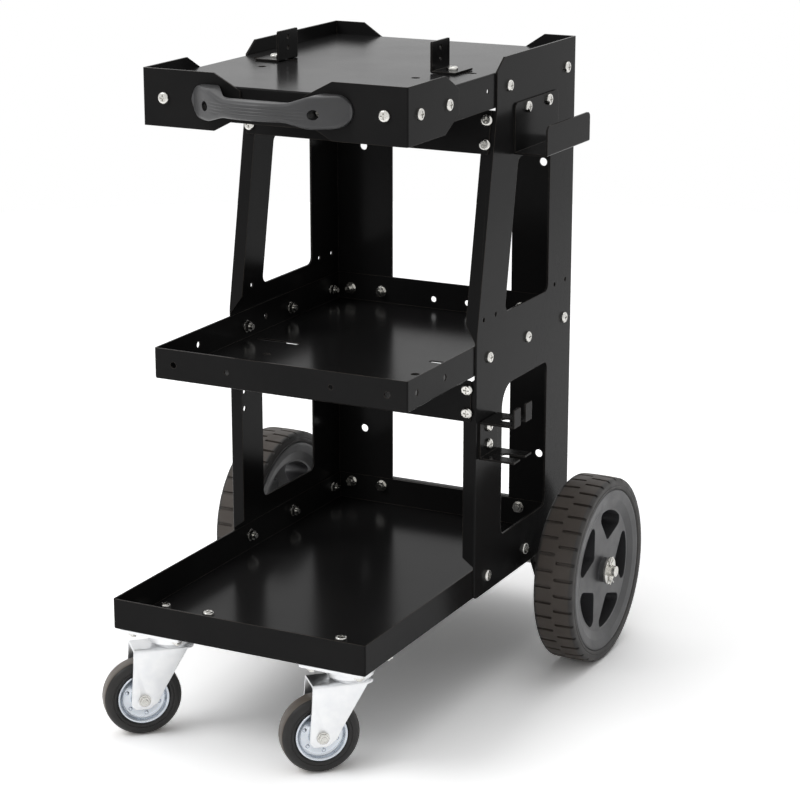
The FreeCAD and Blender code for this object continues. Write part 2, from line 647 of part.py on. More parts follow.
def side_panel(side, name):
    body = new_body(name + "_side_panel")
    start = INNER if side == RIGHT else -HALF
    plate = polygon(new_sketch(body, "YZ_Plane", start), panel_outline())
    low_window, high_window = panel_windows()
    polygon(plate, low_window)
    polygon(plate, high_window)
    for spot in side_bolt_spots() + hook_screw_spots() + holder_screw_spots():
        circle(plate, spot, BOLT_HOLE)
    for spot in index_hole_spots():
        circle(plate, spot, S.index_hole_radius)
    if side == LEFT:
        circle(plate, (shelf_bolt_setbacks()[0], S.middle_floor + S.tray_wall / 2), BOLT_HOLE)
    pad(body, plate, S.panel_gauge)

    rear = polygon(new_sketch(body, "XZ_Plane", REAR_INNER), rear_flange_outline(side))
    for across, height in rear_bolt_spots():
        circle(rear, (across * side, height), BOLT_HOLE)
    for height in (S.chain_hole_low, S.chain_hole_high):
        circle(rear, (S.chain_hole_spread * side, height), S.chain_hole_radius)
    pad(body, rear, S.panel_gauge)

    low = polygon(new_sketch(body, "XZ_Plane", S.panel_setback), front_flange_outline(side))
    for rise in (-1, 1):
        height = MIDDLE_BRACE_HEIGHT + S.brace_bolt_pitch / 2 * rise
        circle(low, ((HALF - S.brace_bolt_inset) * side, height), BOLT_HOLE)
    pad(body, low, S.panel_gauge)

    # The leaning front flange, above the middle tray
    foot, head = MIDDLE_WALL_TOP + S.flange_gap, SHELF_FOOT - S.flange_gap
    inner = HALF - S.front_flange_width
    start = inner if side == RIGHT else -HALF
    outline = [(front_at(foot), foot), (front_at(foot) + S.panel_gauge, foot),
               (front_at(head) + S.panel_gauge, head), (front_at(head), head)]
    pad(body, polygon(new_sketch(body, "YZ_Plane", start), outline), S.front_flange_width)
    corner = [(inner - TOUCH, foot - TOUCH), (inner + S.flange_chamfer_run, foot - TOUCH),
              (inner - TOUCH, foot + S.flange_chamfer_rise * 2)]
    sketch = new_sketch(body, "XZ_Plane", S.panel_setback - S.panel_gauge)
    pocket(body, polygon(sketch, mirrored(corner, side)), S.panel_gauge * 5)

    # Two wider holes, as the brace's bolts are square to the leaning flange
    heights = [UPPER_BRACE_HEIGHT + S.brace_bolt_pitch / 2 * rise * LEAN_COSINE for rise in (-1, 1)]
    spots = [((HALF - S.brace_bolt_inset) * side, height) for height in heights]
    drill(body, "XZ_Plane", S.panel_setback, spots, BOLT_HOLE + S.bolt_clearance,
          S.slant_run + S.panel_gauge * 2)

    low_corner = (S.panel_setback, PANEL_FOOT)
    round_edges(body, S.window_corner, along(0, low_window[:3] + high_window + [low_corner]))
    round_edges(body, S.window_sweep, along(0, low_window[3:]))
    folds = [(HALF * side, S.panel_setback), (HALF * side, S.panel_rear_setback)]
    round_edges(body, S.fold_radius, along(2, folds))
    return body


# Cross braces: plain strips on the front flanges, two bolts at each end

def brace(label, height):
    setback = front_at(height) if label == "upper_brace" else S.panel_setback
    body = new_body(label, setback=setback, height=height)
    end, rise = HALF - S.brace_inset, S.brace_height / 2
    strip = rectangle(new_sketch(body, "XZ_Plane", -S.panel_gauge), (-end, -rise), (end, rise))
    for spot in brace_bolt_spots():
        circle(strip, spot, BOLT_HOLE)
    pad(body, strip, S.panel_gauge)
    corners = [(across, depth) for across in (-end, end) for depth in (-rise, rise)]
    round_edges(body, S.fold_radius, along(1, corners))
    return body


def brace_bolt_spots():
    """Distance from the middle and height from the brace's middle."""
    pitch = S.brace_bolt_pitch / 2
    return on_both_sides([(HALF - S.brace_bolt_inset, pitch), (HALF - S.brace_bolt_inset, -pitch)])


# Trays and top shelf: a floor with four walls, all folded from one sheet

def tray(label, setback, foot, height, floor_on_top=False):
    body = new_body(label, setback=setback, height=foot)
    depth = REAR_INNER - setback
    gauge = S.tray_gauge
    pad(body, rectangle(new_sketch(body, "XY_Plane"), (-INNER, 0), (INNER, depth)), height)
    inside = new_sketch(body, "XY_Plane", 0 if floor_on_top else gauge)
    rectangle(inside, (gauge - INNER, gauge), (INNER - gauge, depth - gauge))
    pocket(body, inside, height - gauge)
    level = height if floor_on_top else 0
    corners = [(across, reach) for across in (-INNER, INNER) for reach in (0, depth)]
    round_edges(body, S.fold_radius, along(2, corners), along(0, [(0, level), (depth, level)]),
                along(1, [(-INNER, level), (INNER, level)]))
    return body


def drill_sides(body, setback, spots, radius):
    """Holes through both side walls, at setbacks from the bottom tray's front face."""
    spots = [(reach - setback, height) for reach, height in spots]
    drill(body, "YZ_Plane", -HALF, spots, radius, S.cart_width)


def tray_side_spots(rise):
    return [(setback, rise) for setback in tray_bolt_setbacks()]


def stop_slots(body, setback):
    """A slot across the floor on each side, and a round hole in front of it."""
    sketch = new_sketch(body, "XY_Plane", -TOUCH)
    for side in (LEFT, RIGHT):
        ends = sorted(((STOP_SPREAD - S.slot_inboard) * side, (STOP_SPREAD + S.slot_outboard) * side),
                      key=value_of)
        reach = S.stop_setback - setback
        slot(sketch, (ends[0], reach), (ends[1], reach), S.slot_width)
        spare = (STOP_SPREAD - S.spare_hole_inboard) * side
        circle(sketch, (spare, SPARE_HOLE_SETBACK - setback), S.spare_hole_radius)
    pocket(body, sketch, S.shelf_skirt + TOUCH * 2)


def bottom_tray():
    body = tray("bottom_tray", 0, S.bottom_floor, S.tray_wall)
    drill_sides(body, 0, tray_side_spots(S.bottom_bolt_rise), BOLT_HOLE)
    rear = on_both_sides([(across, S.platform_bolt_rise) for across in rear_bolt_spread()])
    drill(body, "XZ_Plane", REAR_INNER - S.tray_wall, rear, BOLT_HOLE, S.tray_wall + TOUCH)
    drill(body, "XY_Plane", -TOUCH, caster_bolt_spots(), BOLT_HOLE, S.tray_wall)
    return body


def middle_tray():
    start = S.middle_setback
    body = tray("middle_tray", start, S.middle_floor, S.tray_wall)
    drill_sides(body, start, tray_side_spots(S.middle_bolt_rise), BOLT_HOLE)
    setbacks = (GUARD_SETBACK + S.guard_near_hole, GUARD_SETBACK + S.guard_far_hole, shelf_bolt_setbacks()[0])
    spares = [(setback, S.tray_wall / 2) for setback in setbacks]
    drill_sides(body, start, spares, BOLT_HOLE)
    rear = on_both_sides([(across, S.middle_bolt_rise) for across in rear_bolt_spread()]
                         + [(S.middle_hole_spread, S.middle_hole_rise)])
    drill(body, "XZ_Plane", REAR_INNER - start - S.tray_wall, rear, BOLT_HOLE, S.tray_wall + TOUCH)
    front = on_both_sides([(HALF - S.guard_near_hole, S.tray_wall / 2)])
    drill(body, "XZ_Plane", -TOUCH, front, BOLT_HOLE, S.tray_wall)
    front = on_both_sides([(HALF - S.guard_far_hole, S.tray_wall / 2)])
    drill(body, "XZ_Plane", -TOUCH, front, S.index_hole_radius, S.tray_wall)
    stop_slots(body, start)
    return body


def top_shelf():
    start = SHELF_SETBACK
    body = tray("top_shelf", start, SHELF_FOOT, S.shelf_skirt, floor_on_top=True)
    rise = S.shelf_skirt - S.shelf_bolt_drop
    setbacks = [GUARD_SETBACK + S.guard_near_hole, GUARD_SETBACK + S.guard_far_hole] + shelf_bolt_setbacks()
    drill_sides(body, start, [(setback, rise) for setback in setbacks], BOLT_HOLE)
    drill_sides(body, start, [(S.stop_setback - S.stop_width / 8, rise)], S.index_hole_radius)
    front = on_both_sides([(HALF - distance, rise) for distance in (S.guard_near_hole, S.guard_far_hole)])
    drill(body, "XZ_Plane", -TOUCH, front, BOLT_HOLE, S.shelf_skirt)
    stop_slots(body, start)
    return body


# Corner guards: an upright angle round each front corner of the top shelf

def guard_outline(corner, end, taper):
    """From the corner to a tapered end, in the plane of one leg."""
    head = S.guard_height
    low, high = (head - S.guard_nose) / 2, (head + S.guard_nose) / 2
    return [(corner, 0), (corner, head), (end + taper, head), (end, high), (end, low), (end + taper, 0)]


def corner_guard(side, name):
    body = new_body(name + "_corner_guard", setback=GUARD_SETBACK, height=GUARD_FOOT)
    middle = S.guard_height / 2
    holes = (S.guard_near_hole, S.guard_far_hole)
    outline = guard_outline(HALF, HALF - S.guard_leg, S.guard_taper)
    front = polygon(new_sketch(body, "XZ_Plane"), mirrored(outline, side))
    for distance in holes:
        circle(front, ((HALF - distance) * side, middle), BOLT_HOLE)
    pad(body, front, S.panel_gauge)
    flank = new_sketch(body, "YZ_Plane", INNER if side == RIGHT else -HALF)
    polygon(flank, guard_outline(0, S.guard_leg, -S.guard_taper))
    for distance in holes:
        circle(flank, (distance, middle), BOLT_HOLE)
    pad(body, flank, S.panel_gauge)
    round_edges(body, S.fold_radius, along(2, [(HALF * side, 0)]))
    return body


# Pull handle: a moulded bridge between the guards, lower in the middle than at its feet

def pull_handle():
    body = new_body("pull_handle", setback=GUARD_SETBACK, height=SHELF_BOLT_HEIGHT)
    end, reach = HANDLE_END, S.handle_reach
    inner, back = S.grip_length / 2, S.grip_depth - S.handle_reach
    outer = inner + S.grip_shoulder
    half = [(end, 0), (outer, -reach)]
    inside = [(inner, back), (end - S.handle_foot_length, 0)]
    plan = half + mirrored(half[::-1], LEFT) + mirrored(inside[::-1], LEFT) + inside
    tall = S.handle_pad_rise + S.handle_pad_drop
    pad(body, polygon(new_sketch(body, "XY_Plane", -S.handle_pad_drop), plan), tall)
    round_edges(body, S.grip_corner, along(2, [(-outer, -reach), (outer, -reach)]))
    round_edges(body, S.grip_bend, along(2, [(-inner, back), (inner, back)]))

    # Seen from the front, its ends are half round
    low, high = -S.handle_pad_drop - 1, S.handle_pad_rise + 1
    frame = rectangle(new_sketch(body, "XZ_Plane", -reach - 1), (-end - 1, low), (end + 1, high))
    middle = (S.handle_pad_rise - S.handle_pad_drop) / 2
    pocket(body, slot(frame, (-end, middle), (end, middle), tall), reach + 2)
    for level, edge, limit in ((S.grip_rise, S.handle_pad_rise, high), (-S.grip_drop, -S.handle_pad_drop, low)):
        waist = [(S.pad_even, limit), (S.pad_even, edge), (S.grip_even, level)]
        cut = polygon(new_sketch(body, "XZ_Plane", -reach - 1), waist + mirrored(waist[::-1], LEFT))
        pocket(body, cut, reach + 2)
    spots = on_both_sides([(HALF - S.guard_far_hole, 0)])
    drill(body, "XZ_Plane", -reach - 1, spots, BOLT_HOLE, reach + 2)
    drill(body, "XZ_Plane", -reach - 1, spots, S.handle_recess_radius, S.handle_head_depth + 1)
    return body


# Brackets on the +X panel

def cable_hook():
    body = new_body("cable_hook", setback=HOOK_SETBACK, height=HOOK_FOOT)
    gauge, lip = S.panel_gauge, HALF + S.hook_reach
    profile = [(HALF, 0), (lip, 0), (lip, S.hook_lip), (lip - gauge, S.hook_lip), (lip - gauge, gauge),
               (HALF + gauge, gauge), (HALF + gauge, S.hook_back), (HALF, S.hook_back)]
    pad(body, polygon(new_sketch(body, "XZ_Plane"), profile), S.hook_length)
    spots = [(setback - HOOK_SETBACK, height - HOOK_FOOT) for setback, height in hook_screw_spots()]
    drill(body, "YZ_Plane", HALF - 1, spots, BOLT_HOLE, gauge + 2)
    ends = [(reach, top) for reach in (0, S.hook_length) for top in (S.hook_lip, S.hook_back)]
    round_edges(body, S.hook_lip_corner, along(0, ends))
    round_edges(body, S.fold_radius, along(1, [(HALF, 0), (lip, 0)]))
    return body


def torch_holder():
    body = new_body("torch_holder", setback=HOLDER_SETBACK, height=S.holder_foot)
    gauge, arm, head = S.panel_gauge, HALF + S.holder_reach, S.holder_height
    profile = [(HALF, 0), (arm, 0), (arm, gauge), (HALF + gauge, gauge), (HALF + gauge, head - gauge),
               (arm, head - gauge), (arm, head), (HALF, head)]
    pad(body, polygon(new_sketch(body, "XZ_Plane"), profile), S.holder_width)
    low, high = (S.holder_width - S.holder_slot) / 2, (S.holder_width + S.holder_slot) / 2
    opening = new_sketch(body, "XY_Plane", -TOUCH)
    rectangle(opening, (arm - S.holder_slot_depth, low), (arm + TOUCH, high))
    pocket(body, opening, head + TOUCH * 2)
    tabs = new_sketch(body, "YZ_Plane", arm - gauge)
    for start, end in ((0, low), (high, S.holder_width)):
        rectangle(tabs, (start, head - gauge), (end, head + S.holder_tab))
    pad(body, tabs, gauge)
    spots = [(setback - HOLDER_SETBACK, height - S.holder_foot) for setback, height in holder_screw_spots()]
    drill(body, "YZ_Plane", HALF - 1, spots, BOLT_HOLE, gauge + 2)
    blind = [(arm - S.holder_slot_depth, low), (arm - S.holder_slot_depth, high)]
    round_edges(body, S.holder_slot * 0.45, along(2, blind))
    round_edges(body, S.fold_radius, along(1, [(HALF, 0), (HALF, head)]))
    return body


# Bottle platform behind the trays: it runs on under the bottom tray, where its skirts carry the axle

def bottle_platform():
    gauge, half = S.platform_gauge, PLATFORM_HALF
    body = new_body("bottle_platform", setback=S.panel_rear_setback, height=S.bottom_floor)
    axle = (-S.axle_inset, -S.axle_drop)
    front, rear, foot = axle[0] - S.platform_lead, S.platform_depth, axle[1] - S.platform_skirt
    pad(body, rectangle(new_sketch(body, "XY_Plane", -gauge), (-half, front), (half, rear)), gauge)
    back = rectangle(new_sketch(body, "XZ_Plane"), (-half, -gauge), (half, S.platform_back))
    for across in rear_bolt_spread():
        for side in (LEFT, RIGHT):
            circle(back, (across * side, S.platform_bolt_rise), BOLT_HOLE)
    pad(body, back, gauge)
    lip = new_sketch(body, "XZ_Plane", rear - gauge)
    pad(body, rectangle(lip, (-half, -S.platform_lip), (half, 0)), gauge)
    skirt = [(front, 0), (rear, 0), (rear, -S.platform_lip), (axle[0] + S.platform_lead, foot),
             (axle[0] - S.platform_lead / 2, foot), (front, -gauge * 3)]
    for start in (-half, half - gauge):
        cheek = polygon(new_sketch(body, "YZ_Plane", start), skirt)
        circle(cheek, axle, S.axle_radius + S.axle_fit)
        pad(body, cheek, gauge)
    round_edges(body, S.fold_radius, along(1, [(-half, 0), (half, 0)]), along(0, [(rear, 0)]))
    return body


# Casters: the pivot is the body's own upright axis, and the wheel trails towards its own -X

def caster_body(side, label):
    body = new_body(label, CASTER_SPREAD * side, CASTER_SETBACK)
    turn_body(body, Z_AXIS, as_turn(S.swivel_angle))
    return body


def caster_bolt_spots():
    """Across and setback of the mounting bolts, with the top plates square to the tray."""
    wide, deep = S.plate_hole_pitch / 2, S.plate_hole_reach / 2
    return [(CASTER_SPREAD * side + wide * across, CASTER_SETBACK + deep * reach)
            for side in (LEFT, RIGHT) for across in (-1, 1) for reach in (-1, 1)]


def caster_plate(side, name):
    body = new_body(name + "_caster_plate", CASTER_SPREAD * side, CASTER_SETBACK)
    wide, deep = S.plate_width / 2, S.plate_length / 2
    plate = rectangle(new_sketch(body, "XY_Plane", RACE_TOP), (-wide, -deep), (wide, deep))
    for across in (-1, 1):
        for reach in (-1, 1):
            spot = (S.plate_hole_pitch / 2 * across, S.plate_hole_reach / 2 * reach)
            circle(plate, spot, BOLT_HOLE)
    pad(body, plate, S.plate_gauge)
    foot = RACE_TOP - S.upper_race_height
    pad(body, circle(new_sketch(body, "XY_Plane", foot), (0, 0), S.upper_race_radius), S.upper_race_height)
    corners = [(-wide, -deep), (wide, -deep), (wide, deep), (-wide, deep)]
    round_edges(body, S.fold_radius * 2, along(2, corners),
                ring_edges(2, foot, S.upper_race_radius))
    drill(body, "XY_Plane", foot - 1, [(0, 0)], S.king_pin_radius + S.axle_fit, S.plate_width)
    return body


def king_pin(side, name):
    body = new_body(name + "_king_pin", CASTER_SPREAD * side, CASTER_SETBACK)
    head = WEB_TOP - S.fork_gauge - S.running_gap
    foot = head - S.king_head_height
    pad(body, circle(new_sketch(body, "XY_Plane", foot), (0, 0), S.king_head_radius), S.king_head_height)
    shank = new_sketch(body, "XY_Plane", head - TOUCH)
    pad(body, circle(shank, (0, 0), S.king_pin_radius), S.bottom_floor - head + TOUCH)
    round_edges(body, S.king_head_height * 0.6, ring_edges(2, foot, S.king_head_radius))
    return body


def caster_bearing(side, name):
    """The lower cup, which turns with the fork."""
    body = caster_body(side, name + "_caster_bearing")
    bore, wide, head = S.king_pin_radius + S.axle_fit, S.lower_race_radius, WEB_TOP + S.lower_race_height
    waist = S.lower_race_height * 0.4
    profile = [(bore, WEB_TOP), (wide - waist, WEB_TOP), (wide, WEB_TOP + waist), (wide, head), (bore, head)]
    revolve(body, polygon(new_sketch(body, "XZ_Plane"), profile), "V_Axis")
    return body


def caster_fork(side, name):
    body = caster_body(side, name + "_caster_fork")
    axle, gauge, level = -S.caster_trail, S.fork_gauge, S.caster_radius
    rear, wide = axle - S.fork_rear, FORK_HALF + gauge
    brow, corner = S.fork_brow, S.fork_brow_corner
    web = [(rear, -wide), (brow - corner, -wide), (brow, corner - wide), (brow, wide - corner),
           (brow - corner, wide), (rear, wide)]
    pad(body, polygon(new_sketch(body, "XY_Plane", WEB_TOP - gauge), web), gauge)
    toe, heel = S.fork_toe, S.fork_heel
    leg = [(rear, WEB_TOP), (axle + S.fork_front, WEB_TOP), (axle + toe * 1.5, level + heel),
           (axle + toe, level - heel * 0.3), (axle + toe * 0.4, level - heel),
           (rear, level - heel), (axle - toe, level - heel * 0.5)]
    for start in (-wide, FORK_HALF):
        cheek = polygon(new_sketch(body, "XZ_Plane", start), leg)
        circle(cheek, (axle, level), CASTER_BORE)
        pad(body, cheek, gauge)
    drill(body, "XY_Plane", WEB_TOP - gauge - 1, [(0, 0)], S.king_pin_radius + S.axle_fit, gauge + 2)
    round_edges(body, S.fold_radius, along(0, [(-wide, WEB_TOP), (wide, WEB_TOP)]))
    return body


def caster_wheel_bolt(side, name):
    body = caster_body(side, name + "_caster_wheel_bolt")
    wide, spot = FORK_HALF + S.fork_gauge, (-S.caster_trail, S.caster_radius)
    reach = wide + S.nut_height * 1.4
    pad(body, circle(new_sketch(body, "XZ_Plane", -wide), spot, S.caster_bolt_radius), wide + reach)
    pad(body, hexagon(new_sketch(body, "XZ_Plane", -wide - S.nut_height), spot, CASTER_FLATS), S.nut_height)
    return body


def caster_wheel_nut(side, name):
    body = caster_body(side, name + "_caster_wheel_nut")
    spot = (-S.caster_trail, S.caster_radius)
    nut = hexagon(new_sketch(body, "XZ_Plane", FORK_HALF + S.fork_gauge), spot, CASTER_FLATS)
    circle(nut, spot, CASTER_BORE)
    pad(body, nut, S.nut_height)
    return body


def hexagon(sketch, spot, flats):
    """A hexagon with two of its flats level, round a centre."""
    corner = flats / math.sqrt(3)
    turns = [math.radians(60 * number) for number in range(6)]
    return polygon(sketch, [(spot[0] + corner * math.cos(turn), spot[1] + corner * math.sin(turn))
                            for turn in turns])


def caster_wheel_turning(side, label, profile):
    """A turned piece round the caster's axle, from places along the axle and radii."""
    body = new_body(label, CASTER_SPREAD * side - S.caster_trail * cosine(S.swivel_angle),
                    CASTER_SETBACK - S.caster_trail * sine(S.swivel_angle), S.caster_radius)
    turn_body(body, Z_AXIS, as_turn(S.swivel_angle))
    sketch = polygon(new_sketch(body, "XY_Plane"), [(radius, place) for place, radius in profile])
    revolve(body, sketch, "V_Axis")
    return body


def both_ends(profile):
    """Closes an outline of places and radii with its mirror image along the axle."""
    return profile + [(-place, radius) for place, radius in reversed(profile)]


def caster_wheel(side, name):
    half, rim, outer = S.caster_tyre_width / 2, S.caster_rim_radius, S.caster_radius
    corner = S.caster_tyre_round
    tyre = both_ends([(half - 2, rim), (half, rim + 2), (half, outer - corner * 4),
                      (half - corner * 2, outer - corner), (half - corner * 5, outer)])
    boss = CASTER_BORE + S.bush_gauge
    disc = both_ends([(half, boss), (half, boss + 4), (half - 5, boss + 6), (half - 5, rim - 5),
                      (half - 0.5, rim - 3), (half - 0.5, rim - 1), (half - 2, rim)])
    sleeve = both_ends([(FORK_HALF - S.running_gap, CASTER_BORE), (FORK_HALF - S.running_gap, boss)])
    return [caster_wheel_turning(side, name + "_caster_tyre", tyre),
            caster_wheel_turning(side, name + "_caster_rim", disc),
            caster_wheel_turning(side, name + "_caster_bush", sleeve)]


# Rear wheels, axle and their small parts, turned round the body's own X axis

def axle_body(label, across=0):
    return new_body(label, across, AXLE_SETBACK, WHEEL_RADIUS)


def turned(label, across, profile):
    body = axle_body(label, across)
    revolve(body, polygon(new_sketch(body, "XY_Plane"), profile), "H_Axis")
    return body


def rear_tyre(side, name):
    half, outer, corner = S.wheel_width / 2, WHEEL_RADIUS, S.tyre_shoulder
    profile = both_ends([(half - 2, RIM_RADIUS), (half, RIM_RADIUS + 3), (half, outer - corner * 1.2),
                         (half - corner * 0.4, outer - corner * 0.4), (half - corner * 1.3, outer)])
    body = turned(name + "_rear_tyre", WHEEL_MIDDLE * side, profile)
    stagger = 180 / S.tread_count
    floor = outer - S.tread_depth
    for place, turn in ((half - S.tread_length, 0), (-half - 1, 1)):
        middle = floor * sine(stagger) * turn
        row = new_sketch(body, "XY_Plane", floor * cosine(stagger) if turn else floor)
        low, high = middle - S.tread_groove / 2, middle + S.tread_groove / 2
        rectangle(row, (place, low), (place + S.tread_length + 1, high))
        ring_of(body, pocket(body, row, S.tread_depth * 2), "X_Axis", S.tread_count)
    return body


def rear_hub(side, name):
    half, rim, boss = S.wheel_width / 2, RIM_RADIUS, S.boss_radius
    web, ring = S.web_gauge / 2, RIM_RADIUS - S.rim_ring
    foot = ring - S.rim_slope
    profile = both_ends([(half, HUB_BORE), (half, boss), (web, boss + 1), (web, foot), (half - S.rim_fall, ring),
                         (half - 1, rim - 3), (half - 1, rim - 1), (half - 2, rim)])
    body = turned(name + "_rear_hub", WHEEL_MIDDLE * side, profile)
    far = foot - S.hub_window_rim
    edge = far * sine(180 / S.spoke_count) - S.spoke_width / 2
    corner = root(far * far - edge * edge)
    cut = fan(new_sketch(body, "YZ_Plane", -half), S.hub_window_near, corner, edge)
    ring_of(body, pocket(body, cut, S.wheel_width), "X_Axis", S.spoke_count)
    turns = [360 / S.spoke_count.value * number for number in range(int(S.spoke_count.value))]
    tips = [turned_spot((corner, edge * end), turn) for end in (-1, 1) for turn in turns]
    round_edges(body, S.hub_window_corner, along(0, tips))
    apexes = [turned_spot((S.hub_window_near, as_size(0)), turn) for turn in turns]
    round_edges(body, S.hub_window_apex, along(0, apexes))
    return body


def fan(sketch, near, corner, edge):
    """A triangle whose outer side is an arc round the sketch's origin."""
    spots = [(near, as_size(0)), (corner, -edge), (corner, edge)]
    apex, low, high = [flat(spot) for spot in spots]
    ring = Part.Circle(Vector(), Z_AXIS, low.Length)
    reach = math.atan2(high.y, high.x)
    first = sketch.addGeometry(Part.LineSegment(apex, low), False)
    arc = sketch.addGeometry(Part.ArcOfCircle(ring, -reach, reach), False)
    last = sketch.addGeometry(Part.LineSegment(high, apex), False)
    for one, other in ((first, arc), (arc, last), (last, first)):
        sketch.addConstraint(Sketcher.Constraint("Coincident", one, 2, other, 1))
    fix_point(sketch, arc, 3, (as_size(0), as_size(0)))
    fix_point(sketch, first, 1, spots[0])
    fix_point(sketch, first, 2, spots[1])
    number = sketch.addConstraint(Sketcher.Constraint("DistanceY", -1, 1, last, 1, edge.value))
    bind(sketch, "Constraints[%d]" % number, edge)
    return sketch


def turned_spot(spot, turn):
    """A spot turned round the origin by a number of degrees."""
    cos, sin = math.cos(math.radians(turn)), math.sin(math.radians(turn))
    return (spot[0] * cos - spot[1] * sin, spot[0] * sin + spot[1] * cos)


def rear_bush(side, name):
    half = S.wheel_width / 2
    bore = S.axle_radius + S.axle_fit
    return turned(name + "_rear_bush", WHEEL_MIDDLE * side, both_ends([(half, bore), (half, HUB_BORE)]))


def rear_axle():
    body = axle_body("rear_axle")
    pad(body, circle(new_sketch(body, "YZ_Plane", -AXLE_HALF), (0, 0), S.axle_radius), AXLE_HALF * 2)
    ends = [ring_edges(0, place, S.axle_radius) for place in (-AXLE_HALF, AXLE_HALF)]
    round_edges(body, S.axle_radius / 6, *ends)
    spots = on_both_sides([(PIN_MIDDLE, 0)])
    drill(body, "XY_Plane", -S.axle_radius - 1, spots, S.pin_radius + S.axle_fit, S.axle_radius * 2 + 2)
    return body


# Stops on the top shelf

def stop_bracket(side, name):
    height = S.shelf_height + S.stop_running_gap
    body = new_body(name + "_stop_bracket", STOP_SPREAD * side, S.stop_setback, height)
    gauge, half, near = S.panel_gauge, S.stop_width / 2, -S.stop_inboard
    profile = [(S.stop_outboard, 0), (S.stop_outboard, gauge), (near + gauge, gauge),
               (near + gauge, S.stop_rise + gauge), (near, S.stop_rise + gauge), (near, 0)]
    pad(body, polygon(new_sketch(body, "XZ_Plane", -half), mirrored(profile, side)), S.stop_width)
    drill(body, "XY_Plane", -1, [(0, 0)], BOLT_HOLE, gauge + 2)
    start = (near if side == RIGHT else -near - gauge) - 1
    spots = [(0, S.stop_rise * share) for share in (0.45, 0.83)]
    drill(body, "YZ_Plane", start, spots, S.stop_hole_radius, gauge + 2)
    ends = [(reach, S.stop_rise + gauge) for reach in (-half, half)]
    round_edges(body, S.fold_radius, along(0, ends), along(1, [(near * side, 0)]))
    return body


# Fasteners: one pattern of each kind stands at the origin, and copies of it go where they're used

def screw_pattern(label, length, wide):
    """A pan-headed screw along Z with its head above the XY plane."""
    body = doc.addObject("PartDesign::Body", label)
    pad(body, circle(new_sketch(body, "XY_Plane"), (0, 0), wide), S.head_height)
    pad(body, circle(new_sketch(body, "XY_Plane", -length), (0, 0), S.bolt_radius), length)
    round_edges(body, S.head_height * 0.65, ring_edges(2, S.head_height, wide))
    recess = new_sketch(body, "XY_Plane", S.head_height - 1.6)
    long, short = wide * 0.55, wide * 0.12
    rectangle(recess, (-long, -short), (long, short))
    pocket(body, recess, S.head_height)
    recess = new_sketch(body, "XY_Plane", S.head_height - 1.6)
    rectangle(recess, (-short, -long), (short, long))
    pocket(body, recess, S.head_height)
    return body


def ring_pattern(label, outer, inner, height):
    """A washer or a sleeve along Z that stands on the XY plane."""
    body = doc.addObject("PartDesign::Body", label)
    ring = circle(new_sketch(body, "XY_Plane"), (0, 0), outer)
    pad(body, circle(ring, (0, 0), inner), height)
    return body


def nut_pattern(label):
    """A flanged nut along Z that stands on the XY plane."""
    body = ring_pattern(label, S.collar_radius, S.bolt_radius + S.axle_fit, S.washer_gauge)
    nut = hexagon(new_sketch(body, "XY_Plane"), (0, 0), S.nut_flats)
    circle(nut, (0, 0), S.bolt_radius + S.axle_fit)
    pad(body, nut, S.nut_height)
    return body


def pin_pattern(label):
    """A split pin along Z, its eye at the top."""
    body = doc.addObject("PartDesign::Body", label)
    half = S.pin_length / 2
    pad(body, circle(new_sketch(body, "XY_Plane", -half), (0, 0), S.pin_radius), S.pin_length)
    eye = circle(new_sketch(body, "YZ_Plane", -S.pin_radius / 2), (0, half + S.pin_radius), S.pin_radius * 2)
    circle(eye, (0, half + S.pin_radius), S.pin_radius)
    pad(body, eye, S.pin_radius)
    return body


def place(across, setback, height, direction=Z_AXIS):
    spot = Vector(value_of(across), value_of(FRONT + setback), value_of(height))
    return Placement(spot, Rotation(Z_AXIS, direction))


def slid(placement, distance):
    """The same placement, further along its own Z axis."""
    return placement * Placement(Vector(0, 0, value_of(distance)), Rotation())


def copies(label, pairs):
    """One node of separate solids: a copy of each pattern at each placement."""
    solids = []
    for pattern, placement in pairs:
        solid = pattern.Shape.copy()
        solid.Placement = placement
        solids.append(solid)
    feature = doc.addObject("Part::Feature", label)
    feature.Label = label
    feature.Shape = Part.makeCompound(solids)
    return feature


def bolted(screws_label, nuts_label, screw, spots):
    """Screws and nuts: each spot is a placement under a head, with the thickness that is clamped."""
    screws = copies(screws_label, [(screw, placement) for placement, clamped in spots])
    turned_over = Placement(Vector(), Rotation(X_AXIS, 180))
    backs = [slid(placement, -clamped) * turned_over for placement, clamped in spots]
    nuts = copies(nuts_label, [(nut, back) for back in backs])
    return [screws, nuts]


def rear_bolt_spread():
    return [HALF - S.rear_bolt_inset, HALF - S.rear_bolt_inset - S.rear_bolt_pitch]


def panel_bolts():
    clamped = S.panel_gauge + S.tray_gauge
    spots = [(place(HALF * side, setback, height, X_AXIS * side), clamped)
             for side in (LEFT, RIGHT) for setback, height in side_bolt_spots()]
    return bolted("panel_bolts", "panel_nuts", screw, spots)


def rear_bolts():
    spots = []
    for across in rear_bolt_spread():
        for side in (LEFT, RIGHT):
            middle = place(across * side, S.panel_rear_setback, S.middle_floor + S.middle_bolt_rise, Y_AXIS)
            low = place(across * side, S.panel_rear_setback + S.platform_gauge,
                        S.bottom_floor + S.platform_bolt_rise, Y_AXIS)
            spots.append((middle, S.panel_gauge + S.tray_gauge))
            spots.append((low, S.platform_gauge + S.panel_gauge + S.tray_gauge))
    return bolted("rear_bolts", "rear_nuts", screw, spots)


